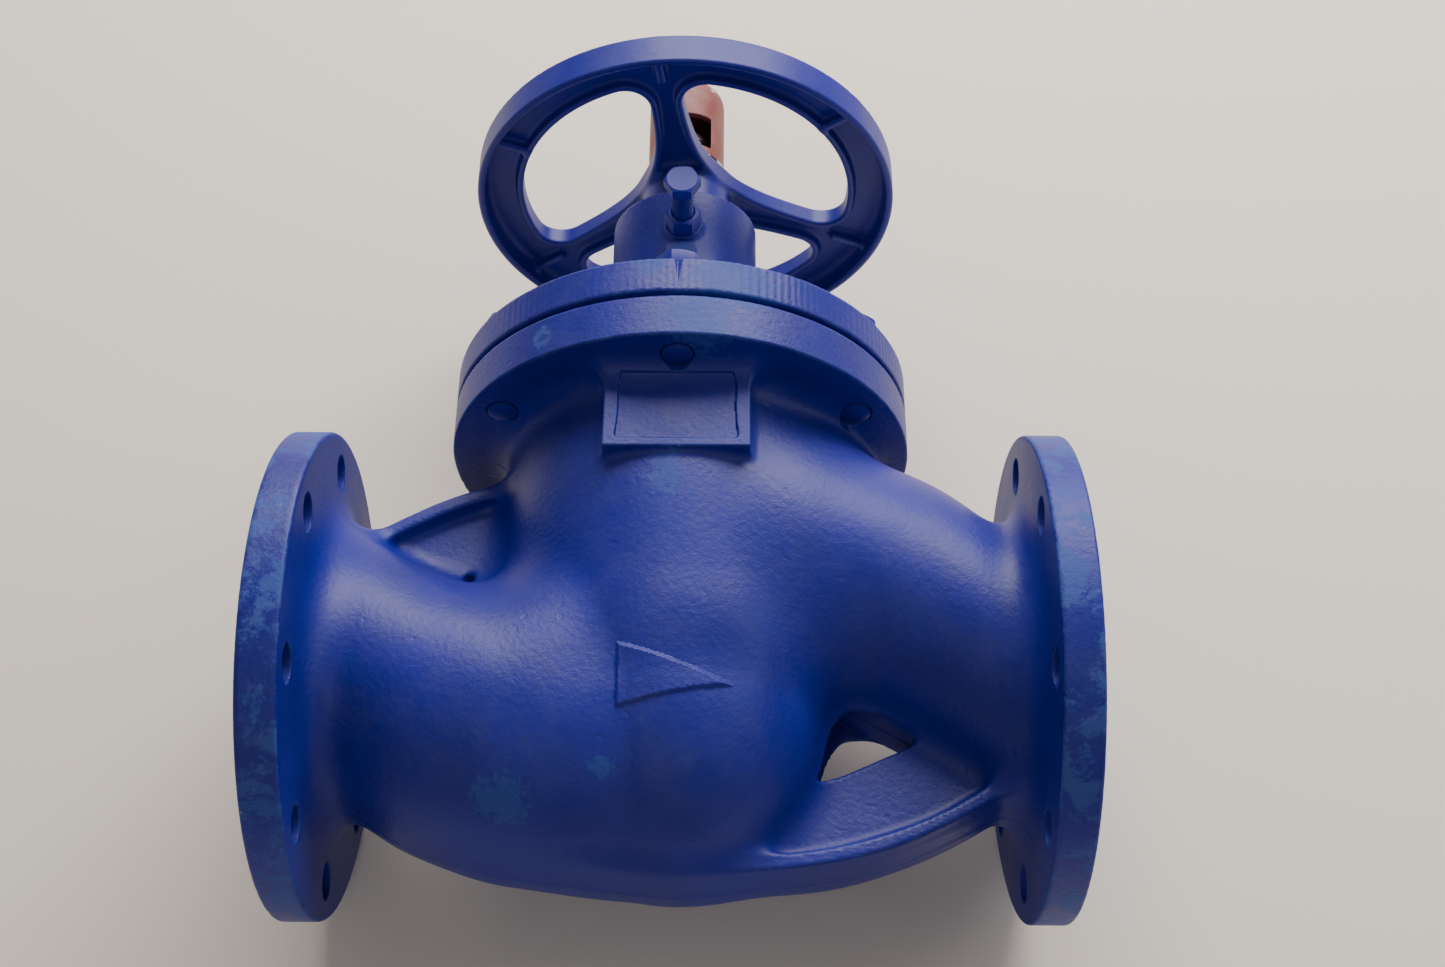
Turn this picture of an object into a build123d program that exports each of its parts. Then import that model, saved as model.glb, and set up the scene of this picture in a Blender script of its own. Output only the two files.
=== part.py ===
from build123d import *
import os

# Straight-pattern flanged globe valve, DN125 PN16, bellows sealed, handwheel that doesn't rise.
# Origin: centre of the inlet flange's raised face. +X is the flow, +Y runs up the stem to the
# handwheel, and +Z is up: the valve lies on its side, on its flange and handwheel rims.
# Heights are measured along Y from the ports' centre line. All sizes are in millimetres.

# ---- ports ----
face_to_face = 400.0
bore_r = 62.5
port_flange_r = 125.0
flange_thickness = 22.7          # with the raised face
raised_face_r = 94.0
raised_face_height = 3.0
port_bolt_circle_r = 105.0
inlet_bolt_hole_r = 9.5
outlet_bolt_hole_r = 9.7         # a little wider than the inlet's
port_bolt_count = 8
port_straight = 25.0             # length of each port's cylindrical bore

# ---- body casting ----
casting_wall = 10.0
bowl_depth = 115.0               # from the ports' centre line down to the bowl's lowest point
seat_plate_low = -8.0
seat_plate_top = 12.0
neck_height = 127.6              # from the ports' centre line up to the body flange
body_flange_thickness = 23.8
crown_drop = 5.6                 # from the body flange's underside down to the outlet arm's crown
top_flange_r = 125.0             # body flange and bonnet flange
web_half_thickness = 12.0
keel_half_width = 21.0           # flat bar that edges each web
keel_thickness = 8.0
keel_stations = [(0, 1), (0.31, 0.978), (0.626, 0.874), (0.846, 0.713)]   # along the arm, down the bowl
keel_end_drop = 0.565            # the same share of the bowl's depth, at the port flange
keel_lap = 30.0                  # how far the keel runs past the stem, under the bowl
web_window_rounding = 7.0
lower_window = [(0.44, 0.07), (0.71, 0.365), (0.36, 0.575)]   # along the arm's reach, down the bowl
upper_window = [(0.73, 0.36), (0.61, 0.5), (0.5, 0.28)]       # mirrored, mostly behind the inlet arm
pad_half_width = 37.0            # raised pad on the neck for a size plate
pad_height = 47.6
pad_rise = 6.0
pad_panel_depth = 1.0
pad_border = 5.0

# ---- joint between body and bonnet ----
flange_gap = 2.8
bonnet_flange_thickness = 20.8
bonnet_bolt_circle_r = 107.5
bonnet_bolt_count = 6
bonnet_bolt_r = 8.0
bonnet_bolt_hole_r = 9.0
bonnet_bolt_proud = 1.6          # screw end past the body flange
bonnet_bolt_head_height = 10.0
bonnet_bolt_across_flats = 24.0
gasket_seat_depth = 3.0
gasket_width = 11.0
gasket_step = 1.0                # from the neck's bore out to the gasket
gasket_thickness = 1.5

# ---- seat and disc ----
seat_ring_width = 10.0
seat_ring_depth = 10.0
seat_proud = 2.0
seat_to_neck = 7.5               # radial room for the seat ring to pass down the neck
disc_step = 2.5                  # from the disc's rim out to the seat ring's rim
disc_thickness = 14.0
disc_hub_wall = 8.0
disc_hub_height = 16.0
disc_nut_height = 12.0
disc_nut_overlap = 6.0           # of the nut over the stem's button
disc_nut_pin_hole_r = 2.5
stem_button_height = 11.5
stem_button_floor = 6.0          # disc metal under the stem's button

# ---- stem and bellows ----
stem_r = 14.0
stem_flat_cut = 2.5              # depth of each of the stem's two flats
stem_neck_cut = 2.0
stem_button_rise = 4.0
stem_past_bush = 21.0            # stem end past the bush with the valve shut
stem_lift = 32.0
carrier_gap = 2.0
carrier_thickness = 6.0
bellows_fold_depth = 11.0
bellows_folds = 16
bellows_skin = 0.8
bellows_room = 4.0               # radial, around the stem's collar
stem_collar_rise = 5.0           # the collar seals against the back seat bush when fully open
stem_collar_height = 8.0

# ---- bonnet and stem seal ----
bonnet_neck_r = 42.2
neck_housing_wall = 8.2
bush_flange_rise = 4.0
bush_flange_height = 4.6
bush_wall = 5.0
bush_length = 24.8
packing_width = 8.0
packing_ring_height = 8.0
packing_count = 3
follower_height = 8.0
gland_thread_rise = 2.0
gland_screw_height = 16.0
gland_hex_height = 6.0
gland_hex_across_flats = 38.0
gland_to_guide_plate = 10.0
guide_plate_thickness = 5.0
guide_tab_half_width = 3.0
guide_tab_reach = 3.8
lug_half_width = 9.0
lug_to_lock = 14.0
lug_rise = 3.3

# ---- thrust bearings and stem bush ----
washer_thickness = 2.0
cage_thickness = 2.4
cage_inset = 0.4
roller_r = 1.5
roller_length = 8.0
roller_count = 24
roller_play = 0.2
bearing_play = 1.0               # radial, from the bearings to the neck's housing
bush_tube_wall = 6.0
bush_hub_wall = 3.5
bush_collar_play = 1.5           # radial, from the bush's collar to the neck's housing
bush_collar_height = 8.0
bush_floor_gap = 0.5             # from the guide plate to the bush
bush_grip = 4.3                  # length of the bush's end inside the cap
bearing_nut_height = 16.0
bearing_nut_slot = 6.0

# ---- handwheel and what holds it ----
wheel_gap = 1.5
wheel_hub_wall = 8.5
wheel_hub_height = 38.8
wheel_r = 125.0
wheel_rim_width = 18.8
wheel_rim_wall = 4.5
wheel_rim_rounding = 1.5
wheel_rim_lap = 8.0              # how far the rim section reaches in over the plate
wheel_plate_thickness = 5.0
wheel_window_margin = 27.0       # from the windows' outer edge to the rim's outside
wheel_window_near_r = 145.0      # radius of the windows' edge beside the hub
wheel_window_to_hub = 1.0
wheel_window_rounding = 18.0
wheel_lip_thickness = 4.0
wheel_lip_depth = 6.0
wheel_spoke_count = 3
wheel_spoke_angle = -7.0         # from +Z towards +X
wheel_gusset_width = 7.0
wheel_gusset_depth = 8.0
key_width = 6.0
key_length = 24.0
key_start = 4.0
key_in_bush = 3.5
key_in_hub = 2.8
tab_washer_thickness = 1.4
wheel_nut_wall = 6.5
wheel_nut_height = 6.0
wheel_nut_slots = 4
nut_slot_width = 6.0
nut_slot_depth = 3.0

# ---- indicator cap ----
cap_base_wall = 5.5              # where the cap grips the bush
cap_wall = 4.0
cap_headroom = 2.0               # over the stem end when fully open
cap_rounding = 12.0
cap_slot_half_width = 15.0
cap_slot_start = 1.5
cap_slot_height = 23.5

# ---- locking screw ----
lock_boss_r = 10.6
lock_boss_rise = 2.8
lock_screw_r = 6.0
lock_tip_r = 3.4
lock_tip_length = 6.0
lock_travel = 4.0
lock_thread_shown = 20.7
lock_head_height = 7.5
lock_across_flats = 18.0
lock_nut_height = 10.8

# ---- clearances ----
running_clearance = 0.05         # radial, between parts that move past each other
seat_clearance = 0.05            # radial, between parts that stay together
lock_tip_gap = 0.05              # left at the end of the locking screw's travel
back_seat_gap = 0.5              # left between the stem's collar and the bush when fully open
edge_break = 1.0                 # chamfer on flange and hub edges

# ---- radii that follow ----
arm_r = bore_r + casting_wall
seat_ring_r = bore_r + seat_ring_width
disc_r = seat_ring_r - disc_step
neck_inner_r = seat_ring_r + seat_to_neck
neck_outer_r = neck_inner_r + casting_wall
gasket_inner_r = neck_inner_r + gasket_step
gasket_outer_r = gasket_inner_r + gasket_width
stem_neck_r = stem_r - stem_neck_cut
stem_flat = stem_r - stem_flat_cut
stem_button_r = stem_r + stem_button_rise
stem_collar_r = stem_r + stem_collar_rise
disc_nut_r = stem_button_r + disc_nut_overlap
disc_hub_r = disc_nut_r + disc_hub_wall
bellows_inner_r = stem_collar_r + bellows_room
bellows_outer_r = bellows_inner_r + bellows_fold_depth
bush_r = stem_r + bush_wall
bush_flange_r = bush_r + bush_flange_rise
packing_r = stem_r + packing_width
gland_thread_r = packing_r + gland_thread_rise
neck_housing_r = bonnet_neck_r - neck_housing_wall
bush_tube_r = stem_r + bush_tube_wall
bush_hub_r = stem_r + bush_hub_wall
bush_collar_r = neck_housing_r - bush_collar_play
bearing_outer_r = neck_housing_r - bearing_play
bearing_inner_r = bush_tube_r + 4 * running_clearance
wheel_hub_r = bush_hub_r + wheel_hub_wall
wheel_window_r = wheel_r - wheel_window_margin
wheel_nut_r = bush_hub_r + wheel_nut_wall
cap_r = bush_hub_r + cap_base_wall
cap_inner_r = cap_r - cap_wall

# ---- places that follow ----
stem_x = face_to_face / 2
arm_reach = face_to_face / 2 - flange_thickness
body_flange_top = neck_height + body_flange_thickness
bonnet_flange_low = body_flange_top + flange_gap
bonnet_flange_top = bonnet_flange_low + bonnet_flange_thickness
body_recess = body_flange_top - gasket_seat_depth
bonnet_recess = bonnet_flange_low + gasket_seat_depth
bellows_ring_low = body_recess + gasket_thickness
bellows_ring_high = bonnet_recess - gasket_thickness
seat_face = seat_plate_top + seat_proud
disc_top = seat_face + disc_thickness
disc_hub_top = disc_top + disc_hub_height
stem_bottom = seat_face + stem_button_floor
carrier_low = disc_hub_top + carrier_gap
carrier_top = carrier_low + carrier_thickness
bush_low = bonnet_recess
bush_top = bush_low + bush_length
stem_collar_top = bush_low - stem_lift - back_seat_gap
packing_top = bush_top + packing_count * packing_ring_height
follower_top = packing_top + follower_height
gland_screw_top = follower_top + gland_screw_height
neck_housing_low = gland_screw_top + gland_hex_height + gland_to_guide_plate
guide_plate_top = neck_housing_low + guide_plate_thickness
bearing_height = 2 * washer_thickness + 2 * roller_r
bush_collar_low = guide_plate_top + bearing_height
bush_collar_top = bush_collar_low + bush_collar_height
bearing_nut_low = bush_collar_top + bearing_height
bonnet_neck_top = bearing_nut_low + bearing_nut_height
wheel_hub_low = bonnet_neck_top + wheel_gap
wheel_top = wheel_hub_low + wheel_hub_height
wheel_rim_low = wheel_top - wheel_rim_width
wheel_plate_low = wheel_top - wheel_plate_thickness
wheel_nut_low = wheel_top + tab_washer_thickness
cap_low = wheel_nut_low + wheel_nut_height
bush_end = cap_low + bush_grip
stem_top = bush_end + stem_past_bush
cap_top = stem_top + stem_lift + cap_headroom + cap_wall
cap_slot_low = bush_end + cap_slot_start
cap_slot_high = cap_slot_low + cap_slot_height
lock_height = (bush_collar_low + bush_collar_top) / 2
lock_boss_face = bonnet_neck_r + lock_boss_rise
lock_tip_low = bush_collar_r + lock_travel + lock_tip_gap
lock_head_underside = lock_boss_face + lock_nut_height + lock_thread_shown


# ---- shared shapes ----
def across_stem(height):
    """Plane square to the stem: its x runs along +Z and its y along +X."""
    return Plane(origin=(stem_x, height, 0), x_dir=(0, 0, 1), z_dir=(0, 1, 0))


def across_port(x, height=0.0):
    """Plane square to the ports' centre line: its x runs along +Z."""
    return Plane(origin=(x, height, 0), x_dir=(0, 0, 1), z_dir=(1, 0, 0))


def across_lock(z):
    """Plane square to the locking screw, at the height z above the stem."""
    return Plane(origin=(stem_x, lock_height, z), x_dir=(0, 1, 0), z_dir=(0, 0, 1))


def turned(points, rounding=0.0):
    """Body of revolution about the stem, from (radius, height) points."""
    section = make_face(Polyline(*points, close=True))
    if rounding:
        section = fillet(section.vertices(), rounding)
    return Pos(stem_x, 0, 0) * revolve(section, Axis.Y)


def ring(inner, outer, low, high, edge=0.0):
    """Ring about the stem, with its outer edges chamfered by edge."""
    points = [(inner, low), (outer - edge, low), (outer, low + edge)]
    points += [(outer, high - edge), (outer - edge, high), (inner, high)]
    if not edge:
        points = [(inner, low), (outer, low), (outer, high), (inner, high)]
    return turned(points)


def rod(radius, low, high):
    """Plain cylinder on the stem's axis."""
    return extrude(across_stem(low) * Circle(radius), amount=high - low)


def around_stem(count, radius, low, high, hole_r):
    """Equally spaced cylinders parallel to the stem."""
    spots = [Rot(0, 0, 360 * k / count) * Pos(radius, 0) for k in range(count)]
    return [extrude(across_stem(low) * spot * Circle(hole_r), amount=high - low) for spot in spots]


def hexagon_on(plane, across_flats, height, turn=0.0):
    """Hexagonal prism standing on a plane, with its corners broken as on a machined head."""
    corner_r = across_flats / 3 ** 0.5
    prism = extrude(plane * Rot(0, 0, turn) * RegularPolygon(corner_r, 6), amount=height)
    crown = extrude(plane * Circle(corner_r), amount=height)
    crown = chamfer(crown.edges().sort_by(Axis(plane.origin, plane.z_dir))[-1], height / 4, height / 7)
    return prism & crown


def mirrored_through_centre(shape):
    """The same shape on the other side of the valve, as an S-shaped body repeats itself."""
    return Pos(stem_x, 0, 0) * Rot(0, 0, 180) * Pos(-stem_x, 0, 0) * shape


# ---- body casting ----
def elliptic_loft(sections):
    """Smooth duct through sections given as (x from the stem, lowest, highest, half width)."""
    faces = [
        across_port(stem_x + x, (low + high) / 2) * Ellipse(half_width, (high - low) / 2)
        for x, low, high, half_width in sections
    ]
    return loft(faces)


def bowl(radius, depth):
    """Bowl about the stem: a round bottom that widens into the neck's radius."""
    wall = Spline(
        (0, -depth), (0.433 * radius, -0.904 * depth), (0.711 * radius, -0.678 * depth),
        (0.811 * radius, -0.391 * depth), (0.889 * radius, -0.157 * depth), (0.967 * radius, 0.174 * depth),
        (radius, 0.522 * depth),
        tangents=[(1, 0), (0.05, 1)],
    )
    lid = Polyline((radius, 0.522 * depth), (0, 0.522 * depth), (0, -depth))
    return Pos(stem_x, 0, 0) * revolve(make_face(wall + lid), Axis.Y)


def inlet_arm():
    end = arm_reach + 1
    return elliptic_loft([
        (-end, -arm_r, arm_r, arm_r),
        (-0.845 * arm_reach, -0.74 * bowl_depth, 0.84 * arm_r, arm_r + 0.5),
        (-0.65 * arm_reach, -0.88 * bowl_depth, 0.62 * arm_r, arm_r + 2.5),
        (-0.395 * arm_reach, -0.98 * bowl_depth, 0.51 * arm_r, arm_r + 5.5),
        (-0.056 * arm_reach, -0.99 * bowl_depth, 0.5 * arm_r, arm_r + 5.5),
    ])


def outlet_arm():
    """The outlet arm rises to the neck, so it stands higher than the inlet arm hangs."""
    end = arm_reach + 1
    crown = neck_height - crown_drop
    return elliptic_loft([
        (end, -arm_r, arm_r, arm_r),
        (0.845 * arm_reach, -0.79 * arm_r, 0.76 * crown, arm_r + 2.5),
        (0.665 * arm_reach, -0.54 * arm_r, 0.91 * crown, arm_r + 4.5),
        (0.42 * arm_reach, -0.28 * arm_r, crown, arm_r + 6.5),
        (0.056 * arm_reach, -0.2 * arm_r, crown, arm_r + 6.5),
    ])


def port_flange(raised_x, inward):
    """One port's flange: its raised face is at raised_x, and inward is +1 or -1 along X."""
    rim_x = raised_x + inward * raised_face_height
    rim = extrude(across_port(rim_x) * Circle(port_flange_r), amount=inward * (flange_thickness - raised_face_height))
    rim = chamfer(rim.edges().filter_by(GeomType.CIRCLE), edge_break)
    return rim + extrude(across_port(raised_x) * Circle(raised_face_r), amount=inward * flange_thickness)


def keel_curve(shift):
    """Lower edge of the webs, raised by shift."""
    stations = keel_stations + [(1 + 1 / arm_reach, keel_end_drop)]
    right = [(stem_x + along * arm_reach, shift - drop * bowl_depth) for along, drop in stations]
    left = [(stem_x - along * arm_reach, shift - drop * bowl_depth) for along, drop in stations[:0:-1]]
    return left + right


def keel():
    """Flat bar along the bottom of the body, from the bowl to the outlet flange."""
    low, high = keel_curve(0), keel_curve(keel_thickness)
    edge = Spline(*low) + Spline(*high) + Line(low[0], high[0]) + Line(low[-1], high[-1])
    bar = extrude(make_face(edge), amount=keel_half_width, both=True)
    start = stem_x - keel_lap
    kept = Box(face_to_face, 2 * bowl_depth, 4 * keel_half_width, align=(Align.MIN, Align.CENTER, Align.CENTER))
    return bar & Pos(start, 0, 0) * kept


def web(window_corners):
    """Plate between the bowl, the outlet arm and the keel, with a three-cornered window."""
    low = keel_curve(keel_thickness / 2)
    edge = Spline(*low) + Polyline(low[-1], (low[-1][0], 0), (low[0][0], 0), low[0])
    plate = extrude(make_face(edge), amount=web_half_thickness, both=True)
    kept = Box(face_to_face, 2 * bowl_depth, 4 * keel_half_width, align=(Align.MIN, Align.CENTER, Align.CENTER))
    plate = plate & Pos(stem_x, 0, 0) * kept
    corners = [(stem_x + along * arm_reach, -drop * bowl_depth) for along, drop in window_corners]
    outline = make_face(Polyline(*corners, close=True))
    window = fillet(outline.vertices(), web_window_rounding)
    return plate - extrude(window, amount=2 * web_half_thickness, both=True)


def size_pad():
    """Raised pad on the neck, under the body flange, with a shallow panel."""
    face = neck_outer_r + pad_rise
    middle = neck_height - pad_height / 2
    pad = Pos(stem_x, middle, face / 2) * Box(2 * pad_half_width, pad_height + 1, face)
    panel = Box(2 * (pad_half_width - pad_border), pad_height - 2 * pad_border, 2 * pad_panel_depth)
    return pad - Pos(stem_x, middle, face) * panel


def body_outside():
    neck = ring(0, neck_outer_r, 0.5 * bowl_depth, neck_height + 1)
    top = ring(0, top_flange_r, neck_height, body_flange_top, edge_break)
    outside = bowl(neck_outer_r, bowl_depth) + neck + inlet_arm() + outlet_arm() + size_pad()
    outside += keel() + web(lower_window)
    outside += mirrored_through_centre(keel() + web(upper_window))
    outside += port_flange(0, 1)
    outside += port_flange(face_to_face, -1)
    return outside + top


def inlet_passage():
    """From the inlet's bore down to the chamber under the seat."""
    floor = bowl_depth - casting_wall
    return elliptic_loft([
        (port_straight - stem_x, -bore_r, bore_r, bore_r),
        (-0.8 * arm_reach, -0.73 * floor, 0.72 * bore_r, bore_r + 0.5),
        (-0.63 * arm_reach, -0.85 * floor, 0.43 * bore_r, bore_r + 1.5),
        (-0.45 * arm_reach, -0.93 * floor, seat_plate_low + 12, bore_r + 3.5),
        (-0.17 * arm_reach, -0.97 * floor, seat_plate_low - 2, bore_r + 3.5),
    ])


def outlet_passage():
    """From the chamber over the seat out to the outlet's bore."""
    ceiling = neck_height - crown_drop - casting_wall - 1
    return elliptic_loft([
        (stem_x - port_straight, -bore_r, bore_r, bore_r),
        (0.835 * arm_reach, -0.74 * bore_r, 0.74 * ceiling, bore_r + 1.5),
        (0.665 * arm_reach, -0.5 * bore_r, 0.91 * ceiling, bore_r + 3.5),
        (0.48 * arm_reach, seat_plate_top - 17, ceiling, bore_r + 3.5),
        (0.17 * arm_reach, seat_plate_top + 2, ceiling, bore_r + 3.5),
    ])


def passages():
    """Everything the fluid fills: both ports, the chamber under the seat and the one above it."""
    ports = [
        extrude(across_port(0) * Circle(bore_r), amount=port_straight),
        extrude(across_port(face_to_face) * Circle(bore_r), amount=-port_straight),
    ]
    under_seat = rod(neck_outer_r, -bowl_depth, seat_plate_low)
    lower = bowl(neck_inner_r - 2, bowl_depth - casting_wall) & under_seat
    upper = rod(neck_inner_r, seat_plate_top, body_flange_top + 1)
    seat_hole = rod(bore_r, seat_plate_low - 1, seat_plate_top + 1)
    seat_pocket = rod(seat_ring_r + seat_clearance, seat_plate_top - seat_ring_depth, seat_plate_top + 1)
    return [inlet_passage(), outlet_passage(), *ports, lower, upper, seat_hole, seat_pocket]


def port_bolt_holes(flange_low, hole_r):
    """Drills for one port's flange, which starts at x = flange_low; they straddle the centre lines."""
    drills = []
    for k in range(port_bolt_count):
        spot = Rot(0, 0, (k + 0.5) * 360 / port_bolt_count) * Pos(port_bolt_circle_r, 0)
        start = across_port(flange_low - raised_face_height) * spot * Circle(hole_r)
        drills.append(extrude(start, amount=flange_thickness + 2 * raised_face_height))
    return drills


def body_casting():
    body = body_outside()
    for space in passages():
        body -= space
    body -= rod(gasket_outer_r + seat_clearance, body_recess, body_flange_top + 1)
    thread_r = bonnet_bolt_r + seat_clearance
    for hole in around_stem(bonnet_bolt_count, bonnet_bolt_circle_r, neck_height - 5, body_flange_top + 1, thread_r):
        body -= hole
    for hole in port_bolt_holes(0, inlet_bolt_hole_r):
        body -= hole
    for hole in port_bolt_holes(face_to_face - flange_thickness, outlet_bolt_hole_r):
        body -= hole
    return body


# ---- seat, disc and stem ----
def seat_ring():
    return ring(bore_r, seat_ring_r, seat_plate_top - seat_ring_depth, seat_face)


def disc():
    pocket = rod(stem_button_r + seat_clearance, stem_bottom, disc_top + 1)
    thread = rod(disc_nut_r + seat_clearance, disc_top - 1, disc_hub_top + 1)
    return ring(0, disc_r, seat_face, disc_top, edge_break) + rod(disc_hub_r, disc_top, disc_hub_top) - pocket - thread


def disc_nut():
    low = disc_hub_top - disc_nut_height
    nut = ring(stem_neck_r + seat_clearance, disc_nut_r, low, disc_hub_top)
    for hole in around_stem(2, (stem_neck_r + disc_nut_r) / 2, disc_hub_top - 4, disc_hub_top + 1, disc_nut_pin_hole_r):
        nut -= hole
    return nut


def stem():
    button_top = stem_bottom + stem_button_height
    shaft = rod(stem_button_r, stem_bottom, button_top)
    shaft += rod(stem_neck_r, button_top, carrier_low)
    shaft += ring(0, stem_r, carrier_low, stem_top, edge_break)
    shaft += rod(stem_collar_r, stem_collar_top - stem_collar_height, stem_collar_top)
    flats_low = neck_housing_low - stem_lift - 2
    flats_high = guide_plate_top + 2
    for side in (-1, 1):
        x = stem_x + side * (stem_flat + stem_r)
        shaft -= Pos(x, (flats_low + flats_high) / 2, 0) * Box(2 * stem_r, flats_high - flats_low, 3 * stem_r)
    return shaft


def bellows_carrier():
    return ring(stem_r + seat_clearance, bellows_outer_r, carrier_low, carrier_top)


def bellows():
    """Thin folded tube from the carrier up to the bellows ring."""
    low = carrier_top
    height = bellows_ring_low - low
    pitch = height / bellows_folds
    inside, outside = [], []
    for fold in range(bellows_folds):
        base = low + fold * pitch
        inside += [(bellows_inner_r, base), (bellows_outer_r - bellows_skin, base + pitch / 2)]
        outside += [(bellows_inner_r + bellows_skin, base), (bellows_outer_r, base + pitch / 2)]
    inside.append((bellows_inner_r, low + height))
    outside.append((bellows_inner_r + bellows_skin, low + height))
    return turned(inside + outside[::-1])


def bellows_ring():
    return ring(bellows_inner_r, gasket_outer_r, bellows_ring_low, bellows_ring_high)


def body_gasket():
    return ring(gasket_inner_r, gasket_outer_r, body_recess, bellows_ring_low)


def bonnet_gasket():
    return ring(gasket_inner_r, gasket_outer_r, bellows_ring_high, bonnet_recess)


# ---- bonnet and stem seal ----
def lock_boss(radius, face):
    """Cylinder along the locking screw, from the stem out to the face."""
    return extrude(across_lock(0) * Circle(radius), amount=face)


def bonnet_lug():
    """Flat strip up the neck, towards the locking screw."""
    height = lock_height - lug_to_lock - bonnet_flange_top
    face = bonnet_neck_r + lug_rise
    return Pos(stem_x, bonnet_flange_top + height / 2, face / 2) * Box(2 * lug_half_width, height, face)


def bonnet_bores():
    """The bonnet's stepped bore, from the gasket recess up to the bearings' housing."""
    return [
        rod(gasket_outer_r + seat_clearance, bonnet_flange_low - 1, bonnet_recess),
        rod(bush_flange_r + seat_clearance, bonnet_recess - 1, bush_low + bush_flange_height),
        rod(bush_r + seat_clearance, bush_low, bush_top + 1),
        rod(packing_r + seat_clearance, bush_top, follower_top + 1),
        rod(gland_thread_r + seat_clearance, follower_top, neck_housing_low + 1),
        rod(neck_housing_r + seat_clearance, neck_housing_low, bonnet_neck_top + 1),
    ]


def guide_slot():
    """Slot in the housing's wall for the guide plate's tab."""
    width = 2 * (guide_tab_half_width + seat_clearance)
    height = bonnet_neck_top - neck_housing_low + 1
    reach = neck_housing_r + guide_tab_reach + seat_clearance
    return Pos(stem_x, neck_housing_low + height / 2, -reach / 2) * Box(width, height, reach)


def bonnet():
    shell = ring(0, top_flange_r, bonnet_flange_low, bonnet_flange_top, edge_break)
    shell += ring(0, bonnet_neck_r, bonnet_flange_top - 1, bonnet_neck_top, edge_break)
    shell += bonnet_lug()
    shell += lock_boss(lock_boss_r, lock_boss_face)
    for bore in bonnet_bores():
        shell -= bore
    shell -= guide_slot()
    shell -= lock_boss(lock_screw_r + running_clearance, lock_boss_face + 1)
    low, high = bonnet_flange_low - 1, bonnet_flange_top + 1
    for hole in around_stem(bonnet_bolt_count, bonnet_bolt_circle_r, low, high, bonnet_bolt_hole_r):
        shell -= hole
    return shell


def bonnet_bolts():
    bolts = []
    for k in range(bonnet_bolt_count):
        spot = Rot(0, 0, 360 * k / bonnet_bolt_count) * Pos(bonnet_bolt_circle_r, 0)
        shank_low = neck_height - bonnet_bolt_proud
        plane = across_stem(shank_low) * spot
        shank = extrude(plane * Circle(bonnet_bolt_r), amount=bonnet_flange_top - shank_low)
        shank = chamfer(shank.edges().sort_by(Axis.Y)[0], edge_break)
        head_plane = across_stem(bonnet_flange_top) * spot
        head = hexagon_on(Plane(head_plane), bonnet_bolt_across_flats, bonnet_bolt_head_height)
        bolts.append(shank + head)
    return bolts


def back_seat_bush():
    flange = ring(stem_r + running_clearance, bush_flange_r, bush_low, bush_low + bush_flange_height)
    return flange + ring(stem_r + running_clearance, bush_r, bush_low, bush_top)


def packing_rings():
    rings = []
    for k in range(packing_count):
        low = bush_top + k * packing_ring_height
        rings.append(ring(stem_r + running_clearance, packing_r, low, low + packing_ring_height))
    return rings


def gland_follower():
    return ring(stem_r + 2 * running_clearance, packing_r, packing_top, follower_top)


def gland_screw():
    """Threaded gland that presses the follower down, with a hexagon for a spanner."""
    low, high = follower_top, gland_screw_top
    screw = rod(gland_thread_r, low, high)
    screw += hexagon_on(across_stem(high), gland_hex_across_flats, gland_hex_height)
    return screw - rod(stem_r + 4 * running_clearance, low - 1, high + gland_hex_height + 1)


def guide_plate_halves():
    """Two half plates that clasp the stem's flats, so that the stem rises without turning."""
    plate = rod(neck_housing_r, neck_housing_low, guide_plate_top)
    tab_reach = neck_housing_r + guide_tab_reach
    plate += Pos(stem_x, (neck_housing_low + guide_plate_top) / 2, -tab_reach / 2) * Box(
        2 * guide_tab_half_width, guide_plate_thickness, tab_reach
    )
    opening = rod(stem_r + running_clearance, neck_housing_low - 1, guide_plate_top + 1)
    flats = Pos(stem_x, (neck_housing_low + guide_plate_top) / 2, 0) * Box(
        2 * (stem_flat + running_clearance), guide_plate_thickness + 2, 3 * stem_r
    )
    plate -= opening & flats
    gap = Box(3 * neck_housing_r, 3 * guide_plate_thickness, 2 * seat_clearance)
    split = plate - Pos(stem_x, guide_plate_top, 0) * gap
    return split.solids()


# ---- thrust bearings and stem bush ----
def bearing_pieces(low):
    """Housing side washer, cage, rollers and far washer of a thrust roller bearing."""
    cage_low = low + washer_thickness + roller_r - cage_thickness / 2
    middle = low + washer_thickness + roller_r
    roller_path = (bearing_outer_r + bearing_inner_r) / 2
    pocket = Box(roller_length + 2 * roller_play, cage_thickness + 1, 2 * roller_r + roller_play)
    cage = ring(bearing_inner_r + cage_inset, bearing_outer_r - cage_inset, cage_low, cage_low + cage_thickness)
    rollers = []
    for k in range(roller_count):
        turn = Pos(stem_x, middle, 0) * Rot(0, 360 * k / roller_count, 0) * Pos(roller_path, 0, 0)
        cage -= turn * pocket
        rollers.append(turn * Rot(0, 90, 0) * Cylinder(roller_r, roller_length))
    near = ring(bearing_inner_r, bearing_outer_r, low, low + washer_thickness)
    far_low = low + washer_thickness + 2 * roller_r
    far = ring(bearing_inner_r, bearing_outer_r, far_low, far_low + washer_thickness)
    return near, cage, rollers, far


def stem_bush():
    """Threaded bush that the handwheel turns: it lifts the stem."""
    bush = rod(bush_tube_r, guide_plate_top + bush_floor_gap, wheel_hub_low)
    bush += rod(bush_collar_r, bush_collar_low, bush_collar_top)
    bush += ring(0, bush_hub_r, wheel_hub_low - 1, bush_end, edge_break)
    bush -= rod(stem_r + running_clearance, guide_plate_top - 1, bush_end + 1)
    return bush - wheel_key(seat_clearance)


def bearing_nut():
    nut = ring(bush_tube_r + cage_inset, neck_housing_r, bearing_nut_low, bonnet_neck_top)
    slot = Box(3 * neck_housing_r, 2 * nut_slot_depth, bearing_nut_slot)
    return nut - Pos(stem_x, bonnet_neck_top, 0) * slot


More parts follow.
